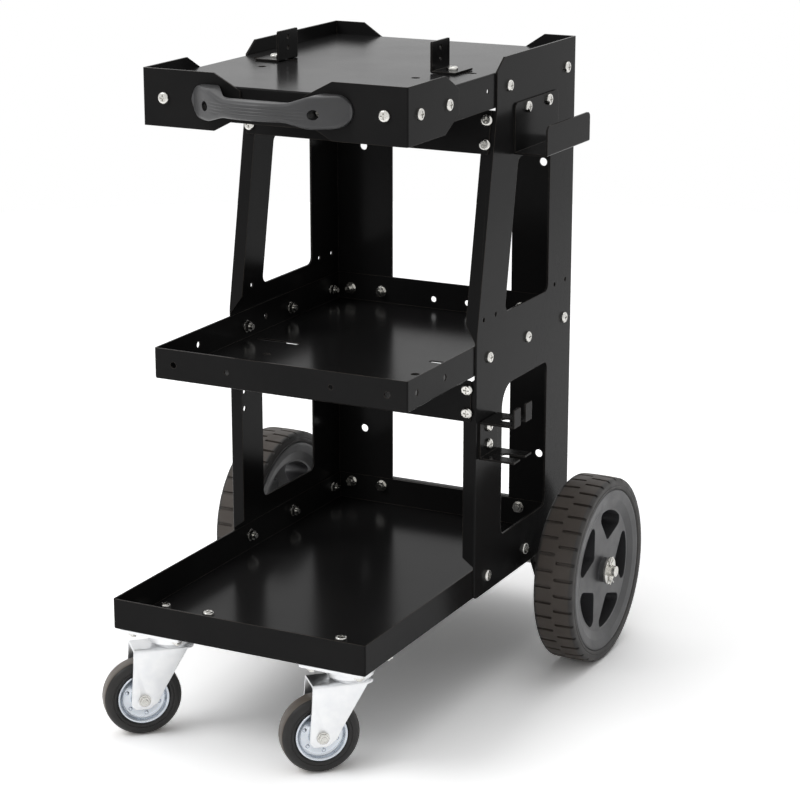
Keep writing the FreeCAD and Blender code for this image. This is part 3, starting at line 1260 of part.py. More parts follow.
def brace_bolts():
    spots = []
    upper = place(0, front_at(UPPER_BRACE_HEIGHT), UPPER_BRACE_HEIGHT)
    upper.Rotation = Rotation(X_AXIS, -LEAN_ANGLE.value)
    middle = place(0, S.panel_setback, MIDDLE_BRACE_HEIGHT)
    for frame, flange in ((upper, S.panel_gauge * LEAN_COSINE), (middle, S.panel_gauge)):
        for across, height in brace_bolt_spots():
            spot = Vector(value_of(across), -S.panel_gauge.value, value_of(height))
            spots.append((frame * Placement(spot, Rotation(Z_AXIS, -Y_AXIS)), S.panel_gauge + flange))
    return bolted("brace_bolts", "brace_nuts", screw, spots)


def guard_screws():
    clamped = S.panel_gauge + S.tray_gauge
    height = SHELF_BOLT_HEIGHT
    spots = []
    for side in (LEFT, RIGHT):
        spots.append((place((HALF - S.guard_near_hole) * side, GUARD_SETBACK, height, -Y_AXIS), clamped))
        for distance in (S.guard_near_hole, S.guard_far_hole):
            spots.append((place(HALF * side, GUARD_SETBACK + distance, height, X_AXIS * side), clamped))
    return bolted("guard_screws", "guard_nuts", screw, spots)


def handle_screws():
    depth = S.handle_reach - S.handle_head_depth
    clamped = depth + S.panel_gauge + S.tray_gauge
    spots = [(place((HALF - S.guard_far_hole) * side, GUARD_SETBACK - depth, SHELF_BOLT_HEIGHT, -Y_AXIS),
              clamped) for side in (LEFT, RIGHT)]
    return bolted("handle_screws", "handle_nuts", long_screw, spots)


def accessory_screws():
    spots = [(place(HALF + S.panel_gauge, setback, height, X_AXIS), S.panel_gauge * 2)
             for setback, height in hook_screw_spots() + holder_screw_spots()]
    return bolted("accessory_screws", "accessory_nuts", screw, spots)


def caster_mount_bolts():
    spots = [(place(across, setback, S.bottom_floor + S.tray_gauge), S.tray_gauge + S.plate_gauge)
             for across, setback in caster_bolt_spots()]
    return bolted("caster_mount_bolts", "caster_mount_nuts", screw, spots)


def axle_hardware():
    """Sleeves inside the wheels, and washers and split pins outside them."""
    inner = HALF + S.wheel_gap - S.running_gap
    turns = [(side, X_AXIS * side) for side in (LEFT, RIGHT)]
    bore = S.axle_radius + S.axle_fit
    spacer = ring_pattern("spacer_pattern", bore + S.bush_gauge, bore, inner - PLATFORM_HALF)
    washer = ring_pattern("axle_washer_pattern", S.axle_washer_radius, bore, S.axle_washer_gauge)
    pin = pin_pattern("pin_pattern")
    doc.recompute()
    axle, level = AXLE_SETBACK, WHEEL_RADIUS
    pins = [place(PIN_MIDDLE * side, axle, level) for side in (LEFT, RIGHT)]
    return [copies("axle_spacers", [(spacer, place(PLATFORM_HALF * side, axle, level, turn))
                                    for side, turn in turns]),
            copies("axle_washers", [(washer, place(WASHER_INNER * side, axle, level, turn))
                                    for side, turn in turns]),
            copies("cotter_pins", [(pin, placement) for placement in pins])]


def stop_fixings(side, name):
    """A stop's screw with its washer and nut under the shelf."""
    across = STOP_SPREAD * side
    bracket = S.shelf_height + S.stop_running_gap + S.panel_gauge
    under = S.shelf_height - S.tray_gauge - S.stop_running_gap
    down = place(across, S.stop_setback, under, -Z_AXIS)
    return copies(name + "_stop_fixings", [(screw, place(across, S.stop_setback, bracket)),
                                           (washer, down), (nut, slid(down, S.washer_gauge))])


# Build everything

def on_each_side(*makers):
    return [maker(side, name) for maker in makers for side, name in SIDES]


CASTER_FLATS = S.nut_flats * 1.3

screw = screw_pattern("screw_pattern", S.screw_length, S.head_radius)
long_screw = screw_pattern("long_screw_pattern", S.handle_screw_length, S.handle_head_radius)
nut = nut_pattern("nut_pattern")
washer = ring_pattern("washer_pattern", S.collar_radius, S.bolt_radius + S.axle_fit, S.washer_gauge)
doc.recompute()

upper_brace = brace("upper_brace", UPPER_BRACE_HEIGHT)
turn_body(upper_brace, X_AXIS, -LEAN_ANGLE)

nodes = [upper_brace, brace("middle_brace", MIDDLE_BRACE_HEIGHT), bottom_tray(), middle_tray(), top_shelf(),
         pull_handle(), cable_hook(), torch_holder(), bottle_platform(), rear_axle()]
nodes += on_each_side(side_panel, corner_guard, caster_plate, king_pin, caster_bearing, caster_fork,
                      caster_wheel_bolt, caster_wheel_nut, rear_tyre, rear_hub, rear_bush, stop_bracket,
                      stop_fixings)
for side, name in SIDES:
    nodes += caster_wheel(side, name)
nodes += (panel_bolts() + rear_bolts() + brace_bolts() + guard_screws() + handle_screws() + accessory_screws()
          + caster_mount_bolts() + axle_hardware())

doc.recompute()


# Checks before the export

def cut_took_material(feature):
    before = feature.BaseFeature
    return before is not None and feature.Shape.Volume < before.Shape.Volume - TOUCH ** 3


faults = []
for item in doc.Objects:
    if "Invalid" in item.State or "Error" in item.State:
        faults.append("%s is in the state %s" % (item.Name, item.State))
    elif item.TypeId == "PartDesign::Pocket" and not cut_took_material(item):
        faults.append("%s cuts nothing" % item.Name)
for node in nodes:
    if node.Shape.isNull() or not node.Shape.isValid():
        faults.append("%s has no valid shape" % node.Label)
if faults:
    raise RuntimeError("; ".join(faults))

os.makedirs("parts", exist_ok=True)
for node in nodes:
    node.Shape.exportStep(os.path.join("parts", node.Label + ".step"))
    box = node.Shape.BoundBox
    print("%-24s %7.1f %7.1f %7.1f %7.1f %7.1f %7.1f" % (node.Label, box.XMin, box.XMax, box.YMin, box.YMax,
                                                        box.ZMin, box.ZMax))
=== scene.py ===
import json
import math

import bmesh
import bpy
from mathutils import Matrix, Vector


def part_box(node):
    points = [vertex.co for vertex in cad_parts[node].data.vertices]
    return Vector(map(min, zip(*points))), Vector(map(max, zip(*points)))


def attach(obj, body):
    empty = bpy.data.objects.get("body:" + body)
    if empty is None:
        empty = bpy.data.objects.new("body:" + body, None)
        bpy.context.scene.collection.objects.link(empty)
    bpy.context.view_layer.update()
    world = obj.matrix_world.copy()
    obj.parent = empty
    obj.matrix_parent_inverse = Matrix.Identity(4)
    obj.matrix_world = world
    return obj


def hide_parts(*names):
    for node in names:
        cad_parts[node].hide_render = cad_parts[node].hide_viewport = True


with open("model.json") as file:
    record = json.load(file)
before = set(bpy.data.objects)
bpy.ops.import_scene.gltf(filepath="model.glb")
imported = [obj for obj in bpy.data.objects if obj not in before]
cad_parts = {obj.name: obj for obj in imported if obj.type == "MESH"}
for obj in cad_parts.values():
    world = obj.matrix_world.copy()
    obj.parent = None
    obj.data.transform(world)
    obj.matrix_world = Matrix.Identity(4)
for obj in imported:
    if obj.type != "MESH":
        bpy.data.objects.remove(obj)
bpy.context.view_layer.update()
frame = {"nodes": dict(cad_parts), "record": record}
MM = 0.001


# Materials

def new_material(name, color, roughness, metallic=0.0, specular=0.5):
    material = bpy.data.materials.new(name)
    material.use_nodes = True
    shader = material.node_tree.nodes["Principled BSDF"]
    shader.inputs["Base Color"].default_value = (*color, 1)
    shader.inputs["Roughness"].default_value = roughness
    shader.inputs["Metallic"].default_value = metallic
    shader.inputs["Specular IOR Level"].default_value = specular
    return material, shader


def add(material, kind, **values):
    """A node whose inputs or settings are given by name."""
    node = material.node_tree.nodes.new(kind)
    for key, value in values.items():
        socket = key.replace("_", " ")
        if socket in node.inputs:
            node.inputs[socket].default_value = value
        else:
            setattr(node, key, value)
    return node


def link(material, source, target):
    material.node_tree.links.new(source, target)


def noise(material, scale, detail=3.0, roughness=0.55, stretch=None):
    """Noise in metres, the same on every piece."""
    node = add(material, "ShaderNodeTexNoise", Scale=scale, Detail=detail, Roughness=roughness)
    source = add(material, "ShaderNodeTexCoord").outputs["Object"]
    if stretch:
        mapping = add(material, "ShaderNodeMapping", Scale=stretch)
        link(material, source, mapping.inputs["Vector"])
        source = mapping.outputs["Vector"]
    link(material, source, node.inputs["Vector"])
    return node.outputs["Fac"]


def spread(material, value, low, high, start=0.3, end=0.7):
    """Maps a value between start and end onto the range from low to high."""
    node = add(material, "ShaderNodeMapRange")
    for name, number in (("From Min", start), ("From Max", end), ("To Min", low), ("To Max", high)):
        node.inputs[name].default_value = number
    link(material, value, node.inputs["Value"])
    return node.outputs["Result"]


def mix_colors(material, factor, one, two):
    node = add(material, "ShaderNodeMix", data_type="RGBA")
    for socket, color in ((6, one), (7, two)):
        if isinstance(color, tuple):
            node.inputs[socket].default_value = (*color, 1)
        else:
            link(material, color, node.inputs[socket])
    link(material, factor, node.inputs[0])
    return node.outputs[2]


def bump(material, height, strength, distance, normal):
    node = add(material, "ShaderNodeBump", Strength=strength, Distance=distance)
    link(material, height, node.inputs["Height"])
    link(material, normal, node.inputs["Normal"])
    return node.outputs["Normal"]


def edge_normal(material, radius):
    """A slightly rounded normal along hard edges."""
    return add(material, "ShaderNodeBevel", samples=4, Radius=radius).outputs["Normal"]


def edge_mask(material, rounded):
    """1 along hard edges and 0 on the flats."""
    flat = add(material, "ShaderNodeNewGeometry").outputs["Normal"]
    dot = add(material, "ShaderNodeVectorMath", operation="DOT_PRODUCT")
    link(material, flat, dot.inputs[0])
    link(material, rounded, dot.inputs[1])
    return spread(material, dot.outputs["Value"], 1.0, 0.0, 0.86, 0.995)


def powder_coat(name, color, lighter):
    """Black paint: a fine orange peel, faint handling marks, and a brownish painted highlight along its hard
    edges.
    """
    material, shader = new_material(name, color, 0.2, specular=0.045)
    rounded = edge_normal(material, 0.7 * MM)
    body = mix_colors(material, spread(material, noise(material, 14), 0, 1), color, lighter)
    # Painted highlight: a brownish light colour, varied by noise, laid on the paint wherever the edge mask
    # marks a hard edge
    wear_and_edge_highlight = mix_colors(material, spread(material, noise(material, 60), 0.25, 1),
                      (0.05, 0.044, 0.038), (0.14, 0.12, 0.10))
    coat_and_painted_edge_highlight = mix_colors(material, edge_mask(material, rounded), body, wear_and_edge_highlight)
    smears = spread(material, noise(material, 9, 5, 0.65), 0.17, 0.21)
    peel = bump(material, noise(material, 700, 2), 0.07, 0.2 * MM, rounded)
    link(material, coat_and_painted_edge_highlight, shader.inputs["Base Color"])
    link(material, smears, shader.inputs["Roughness"])
    link(material, peel, shader.inputs["Normal"])
    return material


def moulded_plastic(name, color, lighter, roughness):
    """Grained plastic in two close tones, lighter where an edge is rubbed."""
    material, shader = new_material(name, color, roughness)
    rounded = edge_normal(material, 0.6 * MM)
    tone = mix_colors(material, spread(material, noise(material, 35, 4), 0, 1), color, lighter)
    rubbed = tuple(min(1, part * 1.8) for part in lighter)
    toned = mix_colors(material, edge_mask(material, rounded), tone, rubbed)
    sheen = spread(material, noise(material, 50, 5), roughness - 0.06, roughness + 0.08)
    grained = bump(material, noise(material, 1500, 2), 0.12, 0.25 * MM, rounded)
    link(material, toned, shader.inputs["Base Color"])
    link(material, sheen, shader.inputs["Roughness"])
    link(material, grained, shader.inputs["Normal"])
    return material


def rubber(name, color, dusty, wear_and_edge_highlight, roughness):
    """Rubber with a little dust, fine moulding marks, and a worn colour on its tread."""
    material, shader = new_material(name, color, roughness, specular=0.4)
    dust = spread(material, noise(material, 25, 6, 0.7), 0, 1, 0.4, 0.75)
    clean = mix_colors(material, dust, color, dusty)
    rolled = mix_colors(material, dust, wear_and_edge_highlight, tuple(part * 1.25 for part in wear_and_edge_highlight))
    tread = add(material, "ShaderNodeAttribute", attribute_name="tread").outputs["Fac"]
    sheen = spread(material, noise(material, 70, 4), roughness - 0.08, roughness + 0.1)
    fine = bump(material, noise(material, 1100, 3), 0.25, 0.25 * MM, edge_normal(material, 0.5 * MM))
    link(material, mix_colors(material, tread, clean, rolled), shader.inputs["Base Color"])
    link(material, sheen, shader.inputs["Roughness"])
    link(material, fine, shader.inputs["Normal"])
    return material


def zinc(name, color, shade, roughness, grain):
    """Bright zinc: a cloudy colour, fine drawing lines and softened edges."""
    material, shader = new_material(name, color, roughness, metallic=1.0)
    cloud = spread(material, noise(material, 90, 3, 0.5), 0, 1)
    sheen = spread(material, noise(material, 160, 3), roughness - 0.03, roughness + 0.04)
    drawn = bump(material, noise(material, 900, 2, 0.5, (1, 1, 5)), grain, 0.05 * MM,
                 edge_normal(material, 0.4 * MM))
    link(material, mix_colors(material, cloud, color, shade), shader.inputs["Base Color"])
    link(material, sheen, shader.inputs["Roughness"])
    link(material, drawn, shader.inputs["Normal"])
    return material


LOOKS = {
    "powder_coat": (powder_coat, (0.0145, 0.0143, 0.0146), (0.0175, 0.0170, 0.0170)),
    "handle_plastic": (moulded_plastic, (0.048, 0.048, 0.050), (0.058, 0.058, 0.060), 0.36),
    "hub_plastic": (moulded_plastic, (0.042, 0.042, 0.045), (0.055, 0.055, 0.058), 0.38),
    "bearing_plastic": (moulded_plastic, (0.03, 0.03, 0.032), (0.045, 0.045, 0.047), 0.4),
    "wheel_rubber": (rubber, (0.040, 0.038, 0.037), (0.062, 0.057, 0.053), (0.068, 0.057, 0.049), 0.56),
    "caster_rubber": (rubber, (0.010, 0.0095, 0.009), (0.020, 0.018, 0.017), (0.12, 0.102, 0.086), 0.40),
    "zinc_fastener": (zinc, (0.70, 0.69, 0.66), (0.56, 0.55, 0.52), 0.22, 0.12),
    "zinc_plate": (zinc, (0.80, 0.805, 0.81), (0.74, 0.75, 0.765), 0.33, 0.10),
    "caster_rim_metal": (zinc, (0.60, 0.635, 0.68), (0.54, 0.575, 0.62), 0.22, 0.06),
}
MATERIALS = {slot: make(slot, *values) for slot, (make, *values) in LOOKS.items()}

for entry in frame["record"]["subparts"]:
    solid = frame["nodes"][entry["node"]].data
    solid.materials.clear()
    solid.materials.append(MATERIALS[entry["material_slot"]])


# Tools for the pieces, which are drawn in millimetres

def middle(node):
    low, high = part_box(node)
    return (Vector(low) + Vector(high)) / 2


def sine(degrees):
    return math.sin(math.radians(degrees))


def cosine(degrees):
    return math.cos(math.radians(degrees))


def new_object(name, points, faces, place=Matrix()):
    mesh = bpy.data.meshes.new(name)
    mesh.from_pydata([place @ (Vector(point) * MM) for point in points], [], faces)
    built = bmesh.new()
    built.from_mesh(mesh)
    bmesh.ops.remove_doubles(built, verts=built.verts, dist=0.002 * MM)
    bmesh.ops.recalc_face_normals(built, faces=built.faces)
    built.to_mesh(mesh)
    built.free()
    thing = bpy.data.objects.new(name, mesh)
    bpy.context.scene.collection.objects.link(thing)
    return thing


def settle(thing):
    """Puts the result of a piece's modifiers into its mesh."""
    graph = bpy.context.evaluated_depsgraph_get()
    mesh = bpy.data.meshes.new_from_object(thing.evaluated_get(graph))
    thing.modifiers.clear()
    thing.data = mesh


def cut(thing, tool, operation="DIFFERENCE"):
    """Cuts a piece by a tool, which is then thrown away."""
    modifier = thing.modifiers.new("cut", "BOOLEAN")
    modifier.operation = operation
    modifier.object = tool
    modifier.solver = "EXACT"
    settle(thing)
    bpy.data.objects.remove(tool)


def bevel(thing, width, segments, angle):
    modifier = thing.modifiers.new("bevel", "BEVEL")
    modifier.width = width * MM
    modifier.segments = segments
    modifier.limit_method = "ANGLE"
    modifier.angle_limit = math.radians(angle)
    settle(thing)


def dress(thing, body, slot, node, angle):
    """Smooths a piece, and sets it on its body in the place of a node."""
    thing.data.shade_smooth()
    thing.data.set_sharp_from_angle(angle=math.radians(angle))
    thing.data.materials.clear()
    thing.data.materials.append(MATERIALS[slot])
    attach(thing, body)
    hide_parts(node)


def mark_tread(thing, place, width, radius):
    """Marks the points of a tyre's tread: near the middle along its axle, and far out from it."""
    mark = thing.data.attributes.new("tread", "FLOAT", "POINT")
    inverse = place.inverted()
    for number, vertex in enumerate(thing.data.vertices):
        spot = inverse @ vertex.co / MM
        on_tread = abs(spot.x) < width and math.hypot(spot.y, spot.z) > radius
        mark.data[number].value = 1.0 if on_tread else 0.0


def grid_faces(rows, columns, closed_rows=False, closed_columns=True):
    """Faces between neighbouring points of a grid that is stored row by row."""
    faces = []
    for row in range(rows if closed_rows else rows - 1):
        for column in range(columns if closed_columns else columns - 1):
            after, beside = (row + 1) % rows, (column + 1) % columns
            faces.append((row * columns + column, row * columns + beside,
                          after * columns + beside, after * columns + column))
    return faces


def joined(*shapes):
    """Puts shapes, each its points and faces, together."""
    points, faces = [], []
    for more, around in shapes:
        start = len(points)
        points += list(more)
        faces += [tuple(start + corner for corner in face) for face in around]
    return points, faces


def turned(profile, segments=96):
    """A closed outline of (along the axle, radius) turned round the X axis."""
    points = []
    for number in range(segments):
        turn = 2 * math.pi * number / segments
        points += [(along, radius * math.cos(turn), radius * math.sin(turn)) for along, radius in profile]
    return points, grid_faces(segments, len(profile), closed_rows=True)


def rod(low, high, radius, segments=32):
    """A round bar along X, whose ends close at a pinpoint."""
    pinpoint = 0.01
    return turned([(low, pinpoint), (high, pinpoint), (high, radius), (low, radius)], segments)


def both_ends(profile):
    """Closes an outline with its mirror image along the axle."""
    return profile + [(-along, radius) for along, radius in reversed(profile)]


def prism(outline, low, high):
    """A closed outline of (x, z) between two places along Y."""
    count = len(outline)
    points = [(x, low, z) for x, z in outline] + [(x, high, z) for x, z in outline]
    sides = [(number, (number + 1) % count, (number + 1) % count + count, number + count)
             for number in range(count)]
    return points, sides + [tuple(range(count)), tuple(range(count, 2 * count))]


def filleted(corners, steps=6):
    """A closed outline from (x, z, radius) corners, each rounded by an arc."""
    outline = []
    for number, (x, z, radius) in enumerate(corners):
        here = Vector((x, z))
        before = Vector(corners[number - 1][:2]) - here
        after = Vector(corners[(number + 1) % len(corners)][:2]) - here
        half = before.angle(after) / 2
        reach = min(radius / math.tan(half), before.length * 0.49, after.length * 0.49)
        radius = reach * math.tan(half)
        before.normalize()
        after.normalize()
        center = here + (before + after).normalized() * radius / math.sin(half)
        start, end = here + before * reach - center, here + after * reach - center
        for step in range(steps + 1):
            spoke = start.normalized().slerp(end.normalized(), step / steps) * radius
            outline.append(tuple(center + spoke))
    return outline


def eased(value, start, end, soft):
    """Goes from 0 to 1 between two places, with rounded bends."""
    def area(place):
        return 0 if place < 0 else place * place / 2 if place < 1 else place - 0.5
    place = (value - start) / (end - start)
    return (area(place + soft) - area(place - soft)) / (2 * soft)


# Pull handle: a bow with a straight inner side, fine grooves and sunk screws

HANDLE_BOW = 110        # radius of its front
HANDLE_REACH = 44       # from the guards to its front
HANDLE_HALF = 88        # half its length
GRIP_DEPTH = 18
GRIP_RISE, GRIP_DROP = 10, 8            # the grip above and below the screws
PAD_RISE, PAD_DROP = 17, 14.5           # its feet above and below the screws
PAD_ROUND = (PAD_RISE + PAD_DROP) / 2
GRIP_ENDS = (38, 58)                    # where its inner side goes back to the guards
PAD_STARTS = (34, 55)                   # where it grows as tall as its feet
GROOVE_ENDS = (44, 54)                  # where the grooves fade
GROOVES = (-4.2, -1.2, 1.8, 4.8)        # heights of the grooves
GROOVE_DEPTH, GROOVE_WIDTH = 0.6, 0.5
THINNEST = 2.6                          # its depth at the ends of its feet
RECESS_RADIUS, RECESS_FLOOR = 4.9, 12
RECESS_PLACE = 59


def handle_section(across):
    """Points of (in front of the guards, height) round the bow at a place along it."""
    side = abs(across)
    front = max(math.sqrt(HANDLE_BOW ** 2 - side ** 2) - HANDLE_BOW + HANDLE_REACH, THINNEST)
    back = (HANDLE_REACH - GRIP_DEPTH) * (1 - eased(side, *GRIP_ENDS, 0.16))
    back = min(back, front - 2.4)
    taller = eased(side, *PAD_STARTS, 0.2)
    top = GRIP_RISE + (PAD_RISE - GRIP_RISE) * taller
    foot = -GRIP_DROP - (PAD_DROP - GRIP_DROP) * taller
    if side > HANDLE_HALF - PAD_ROUND:
        share = math.sqrt(max(1 - ((side - HANDLE_HALF + PAD_ROUND) / PAD_ROUND) ** 2, 0.0025))
        centre = (PAD_RISE - PAD_DROP) / 2
        top, foot = centre + (top - centre) * share, centre + (foot - centre) * share
    near = min(4.5, (front - back) * 0.48, (top - foot) * 0.45)
    far = min(2.0, (front - back) * 0.3, (top - foot) * 0.3)
    grooved = 1 - eased(side, *GROOVE_ENDS, 0.3)
    outline = []
    for step in range(41):
        height = foot + near + (top - foot - 2 * near) * step / 40
        dip = sum(math.exp(-((height - groove) / GROOVE_WIDTH) ** 2) for groove in GROOVES)
        outline.append((front - GROOVE_DEPTH * grooved * dip, height))
    corners = ((near, front - near, top - near, 0),
               (far, back + far, top - far, 90),
               (far, back + far, foot + far, 180),
               (near, front - near, foot + near, 270))
    for radius, depth, height, start in corners:
        outline += [(depth + radius * cosine(start + turn), height + radius * sine(start + turn))
                    for turn in range(15, 91, 15)]
    return outline


def make_handle():
    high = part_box("pull_handle")[1]
    ends = {round(HANDLE_HALF * sine(turn), 3) for turn in range(-90, 91, 2)}
    bow = set(range(-58, 59, 2))
    stations = sorted({place for place in ends if abs(place) > 59} | bow)
    points = []
    for across in stations:
        points += [(across, -depth, height) for depth, height in handle_section(across)]
    count = len(points) // len(stations)
    faces = grid_faces(len(stations), count)
    faces += [tuple(range(count)), tuple(range(len(points) - count, len(points)))]
    place = Matrix.Translation((0, high[1], high[2] - PAD_RISE * MM))
    handle = new_object("handle_bow", points, faces, place)
    for side in (-1, 1):
        spot = Matrix.Translation((RECESS_PLACE * side * MM, -RECESS_FLOOR * MM, 0))
        towards = place @ spot @ Matrix.Rotation(-math.pi / 2, 4, "Z")
        cut(handle, new_object("recess", *rod(0, 60, RECESS_RADIUS, 40), towards))
    dress(handle, "cart", "handle_plastic", "pull_handle", 50)


# Rear tyres: two staggered rows of open grooves

TYRE_RADIUS = 102
TREAD_HALF = 18
WALL = 22.5             # the tyre's side along the axle
GROOVE_FLOOR = 99.0     # radius of the grooves' floor
GROOVE_HALF = 1.8
GROOVE_START = 2.8      # middle of a groove's round end, along the axle
BEAD_HALF, BEAD_RADIUS = 20.5, 89.3
HUB_FIT = 89.03         # radius of its seat on the hub
BLOCKS = 36             # in each row
BLOCK_POINTS = 9        # round the wheel, for each block
PITCH = 2 * math.pi / BLOCKS


def tyre_rings():
    """From the middle of the tread to the rim: along the axle, radius, half a groove's width."""
    rings = []
    for along in (0, 0.9, 1.0, 1.2, 1.6, 2.1, GROOVE_START, 6, 10, 14, 17.5):
        before = max(GROOVE_START - along, 0)
        width = 0 if along < 1 else math.sqrt(max(GROOVE_HALF ** 2 - before ** 2, 0))
        rings.append((along, TYRE_RADIUS - 0.5 * (along / TREAD_HALF) ** 2, width))
    rings += [(18.5 + 4 * sine(turn), 97.5 + 4 * cosine(turn), GROOVE_HALF) for turn in range(15, 91, 15)]
    rings += [(WALL, 96, GROOVE_HALF), (WALL, 94.4, 1.0), (22.1, 94.0, 1.0), (22.1, 93.3, 1.0),
              (WALL, 92.9, 1.0), (WALL, 91.2, 1.0), (21.9, 90.3, 1.0), (21.2, 89.7, 1.0),
              (BEAD_HALF, BEAD_RADIUS, 1.0)]
    return rings


def tyre_row(towards, shift):
    """One row of blocks with its wall, on one side of the tread's middle."""
    points = []
    rings = tyre_rings()
    for along, radius, width in rings:
        floor = min(radius, GROOVE_FLOOR)
        wide, narrow = width / TYRE_RADIUS / PITCH, width * 0.86 / TYRE_RADIUS / PITCH
        spots = ((-0.5, radius), (-0.36, radius), (-0.22, radius), (-wide, radius), (-narrow, floor),
                 (narrow, floor), (wide, radius), (0.22, radius), (0.36, radius))
        if width < 0.01:
            spots = tuple((share, radius) for share, level in spots)
        for number in range(BLOCKS):
            for share, level in spots:
                turn = (number + shift + share) * PITCH
                points.append((along * towards, level * math.cos(turn), level * math.sin(turn)))
    return points, grid_faces(len(rings), BLOCKS * BLOCK_POINTS)


def make_rear_tyre(side, name):
    inner = [(BEAD_HALF, BEAD_RADIUS), (BEAD_HALF, HUB_FIT), (-BEAD_HALF, HUB_FIT), (-BEAD_HALF, BEAD_RADIUS)]
    turns = [number * PITCH / BLOCK_POINTS for number in range(BLOCKS * BLOCK_POINTS)]
    seat = [(along, radius * math.cos(turn), radius * math.sin(turn))
            for along, radius in inner for turn in turns]
    seat_faces = grid_faces(len(inner), len(turns))
    points, faces = joined(tyre_row(1, 0), tyre_row(-1, 0.5), (seat, seat_faces))
    place = Matrix.Translation(middle(name + "_rear_tyre")) @ Matrix.Scale(side, 4, (1, 0, 0))
    tyre = new_object(name + "_tyre_tread", points, faces, place)
    mark_tread(tyre, place, TREAD_HALF, 98)
    dress(tyre, name + "_rear_wheel", "wheel_rubber", name + "_rear_tyre", 38)


# Casters, each in a frame of its own that is turned as it is at rest

SWIVEL_ANGLE = 43
CASTER_TRAIL = 32
CASTER_RADIUS = 40
CASTER_HALF = 12        # half the width of its tyre
LEG_INSIDE, LEG_OUTSIDE = 14.5, 17.0
FORK_TOP = 95.0
FORK_BEND = 3.6         # outer radius of its folds
AXLE_FIT = 3.9          # radius of the axle in the legs' bores


def caster_place(name):
    """The frame of a caster: its pivot on the ground, with X ahead."""
    pivot = middle(name + "_king_pin")
    return Matrix.Translation((pivot.x, pivot.y, 0)) @ Matrix.Rotation(math.radians(SWIVEL_ANGLE), 4, "Z")


def wheel_place(name):
    """The frame of a caster's wheel, with X along its axle."""
    back = Matrix.Translation((-CASTER_TRAIL * MM, 0, CASTER_RADIUS * MM))
    return caster_place(name) @ back @ Matrix.Rotation(math.pi / 2, 4, "Z")


def make_caster_tyre(name):
    """A solid tyre: round shoulders, a thin groove beside the tread, and a ring pressed into each wall."""
    round_off = 7.6
    across, out = CASTER_HALF - round_off, CASTER_RADIUS - round_off
    shoulder = []
    for turn, depth in ((0, 0), (9, 0), (18, 0), (26, 0), (27.5, 0.4), (31, 0.4), (32.5, 0), (41, 0),
                        (50, 0), (60, 0), (70, 0), (80, 0), (90, 0)):
        reach = round_off - depth
        shoulder.append((across + reach * sine(turn), out + reach * cosine(turn)))
    wall = [(CASTER_HALF, 31.5), (11.5, 31.2), (11.5, 30.6), (CASTER_HALF, 30.3), (CASTER_HALF, 29.4),
            (11.6, 28.4), (10.2, 27.3), (9.9, 27.0)]
    profile = [(0, CASTER_RADIUS)] + shoulder + wall
    points, faces = turned(profile + [(-along, radius) for along, radius in reversed(profile[1:])], 128)
    tyre = new_object(name + "_caster_tread", points, faces, wheel_place(name))
    mark_tread(tyre, wheel_place(name), 8.2, 38.9)
    dress(tyre, name + "_caster_wheel", "caster_rubber", name + "_caster_tyre", 40)


def rivet(side, turn):
    """A domed head on the dish of a rim."""
    dish, circle, sides = 6.7, 17.4, 14
    dome = [(0.01, 0), (2.1, 0), (2.0, 0.6), (1.6, 1.1), (0.9, 1.4), (0.01, 1.5)]
    points = []
    for step in range(sides):
        around = 360 * step / sides
        points += [((dish + height) * side, circle * cosine(turn) + radius * cosine(around),
                    circle * sine(turn) + radius * sine(around)) for radius, height in dome]
    return points, grid_faces(sides, len(dome), True, False)


def make_caster_rim(name):
    """A pressed rim: a rolled edge, a dish with rivets round it, and a boss."""
    profile = both_ends([(12, 7.1), (12, 10.2), (11.5, 11), (9.6, 11.6), (7.8, 12.6), (6.9, 14), (6.8, 20),
                         (7.3, 21.8), (8.6, 22.9), (10.4, 23.5), (11.4, 24.1), (11.9, 25.1), (11.8, 26.1),
                         (11.1, 26.7), (10.2, 26.95)])
    rivets = [rivet(side, 60 * number + 20) for side in (-1, 1) for number in range(6)]
    points, faces = joined(turned(profile, 112), *rivets)
    rim = new_object(name + "_caster_rim_pressed", points, faces, wheel_place(name))
    dress(rim, name + "_caster_wheel", "caster_rim_metal", name + "_caster_rim", 40)


def fold(radius, turns):
    """Points of (across, height) round the fold between the fork's top and a leg."""
    return [(LEG_OUTSIDE - FORK_BEND + radius * sine(turn), FORK_TOP - FORK_BEND + radius * cosine(turn))
            for turn in turns]


def make_fork(name):
    """A folded sheet: a channel that is cut to the outline of its legs, and round at its front corners."""
    length, leg_low = 60, 20
    half = (fold(FORK_BEND, range(0, 91, 15)) + [(LEG_OUTSIDE, leg_low), (LEG_INSIDE, leg_low)]
            + fold(FORK_BEND - LEG_OUTSIDE + LEG_INSIDE, range(90, -1, -15)))
    channel = half + [(-across, height) for across, height in reversed(half)]
    points = [(along, across, height) for along in (-length, length) for across, height in channel]
    faces = prism(channel, -length, length)[1]
    fork = new_object(name + "_fork_pressed", points, faces, caster_place(name))
    leg = filleted([(-41.5, 96, 0.5), (21, 96, 0.5), (21, 92.3, 0.5), (13.4, 92.2, 1.5), (-12, 49, 25),
                    (-18, 37, 10), (-27, 30.5, 5), (-41.5, 30.5, 4), (-45.5, 35.5, 5)])
    cut(fork, new_object("leg", *prism(leg, -30, 30), caster_place(name)), "INTERSECT")
    plan = filleted([(-60, -17.5, 0.5), (21, -17.5, 9), (21, 17.5, 9), (-60, 17.5, 0.5)])
    upright = caster_place(name) @ Matrix.Rotation(-math.pi / 2, 4, "X")
    cut(fork, new_object("plan", *prism(plan, -100, 0), upright), "INTERSECT")
    cut(fork, new_object("axle_bore", *rod(-40, 40, AXLE_FIT + 0.2), wheel_place(name)))
    pin = caster_place(name) @ Matrix.Translation((0, 0, 94 * MM)) @ Matrix.Rotation(math.pi / 2, 4, "Y")
    cut(fork, new_object("pin_bore", *rod(-20, 20, 6.1), pin))
    bevel(fork, 0.45, 2, 40)
    dress(fork, name + "_swivel", "zinc_plate", name + "_caster_fork", 35)


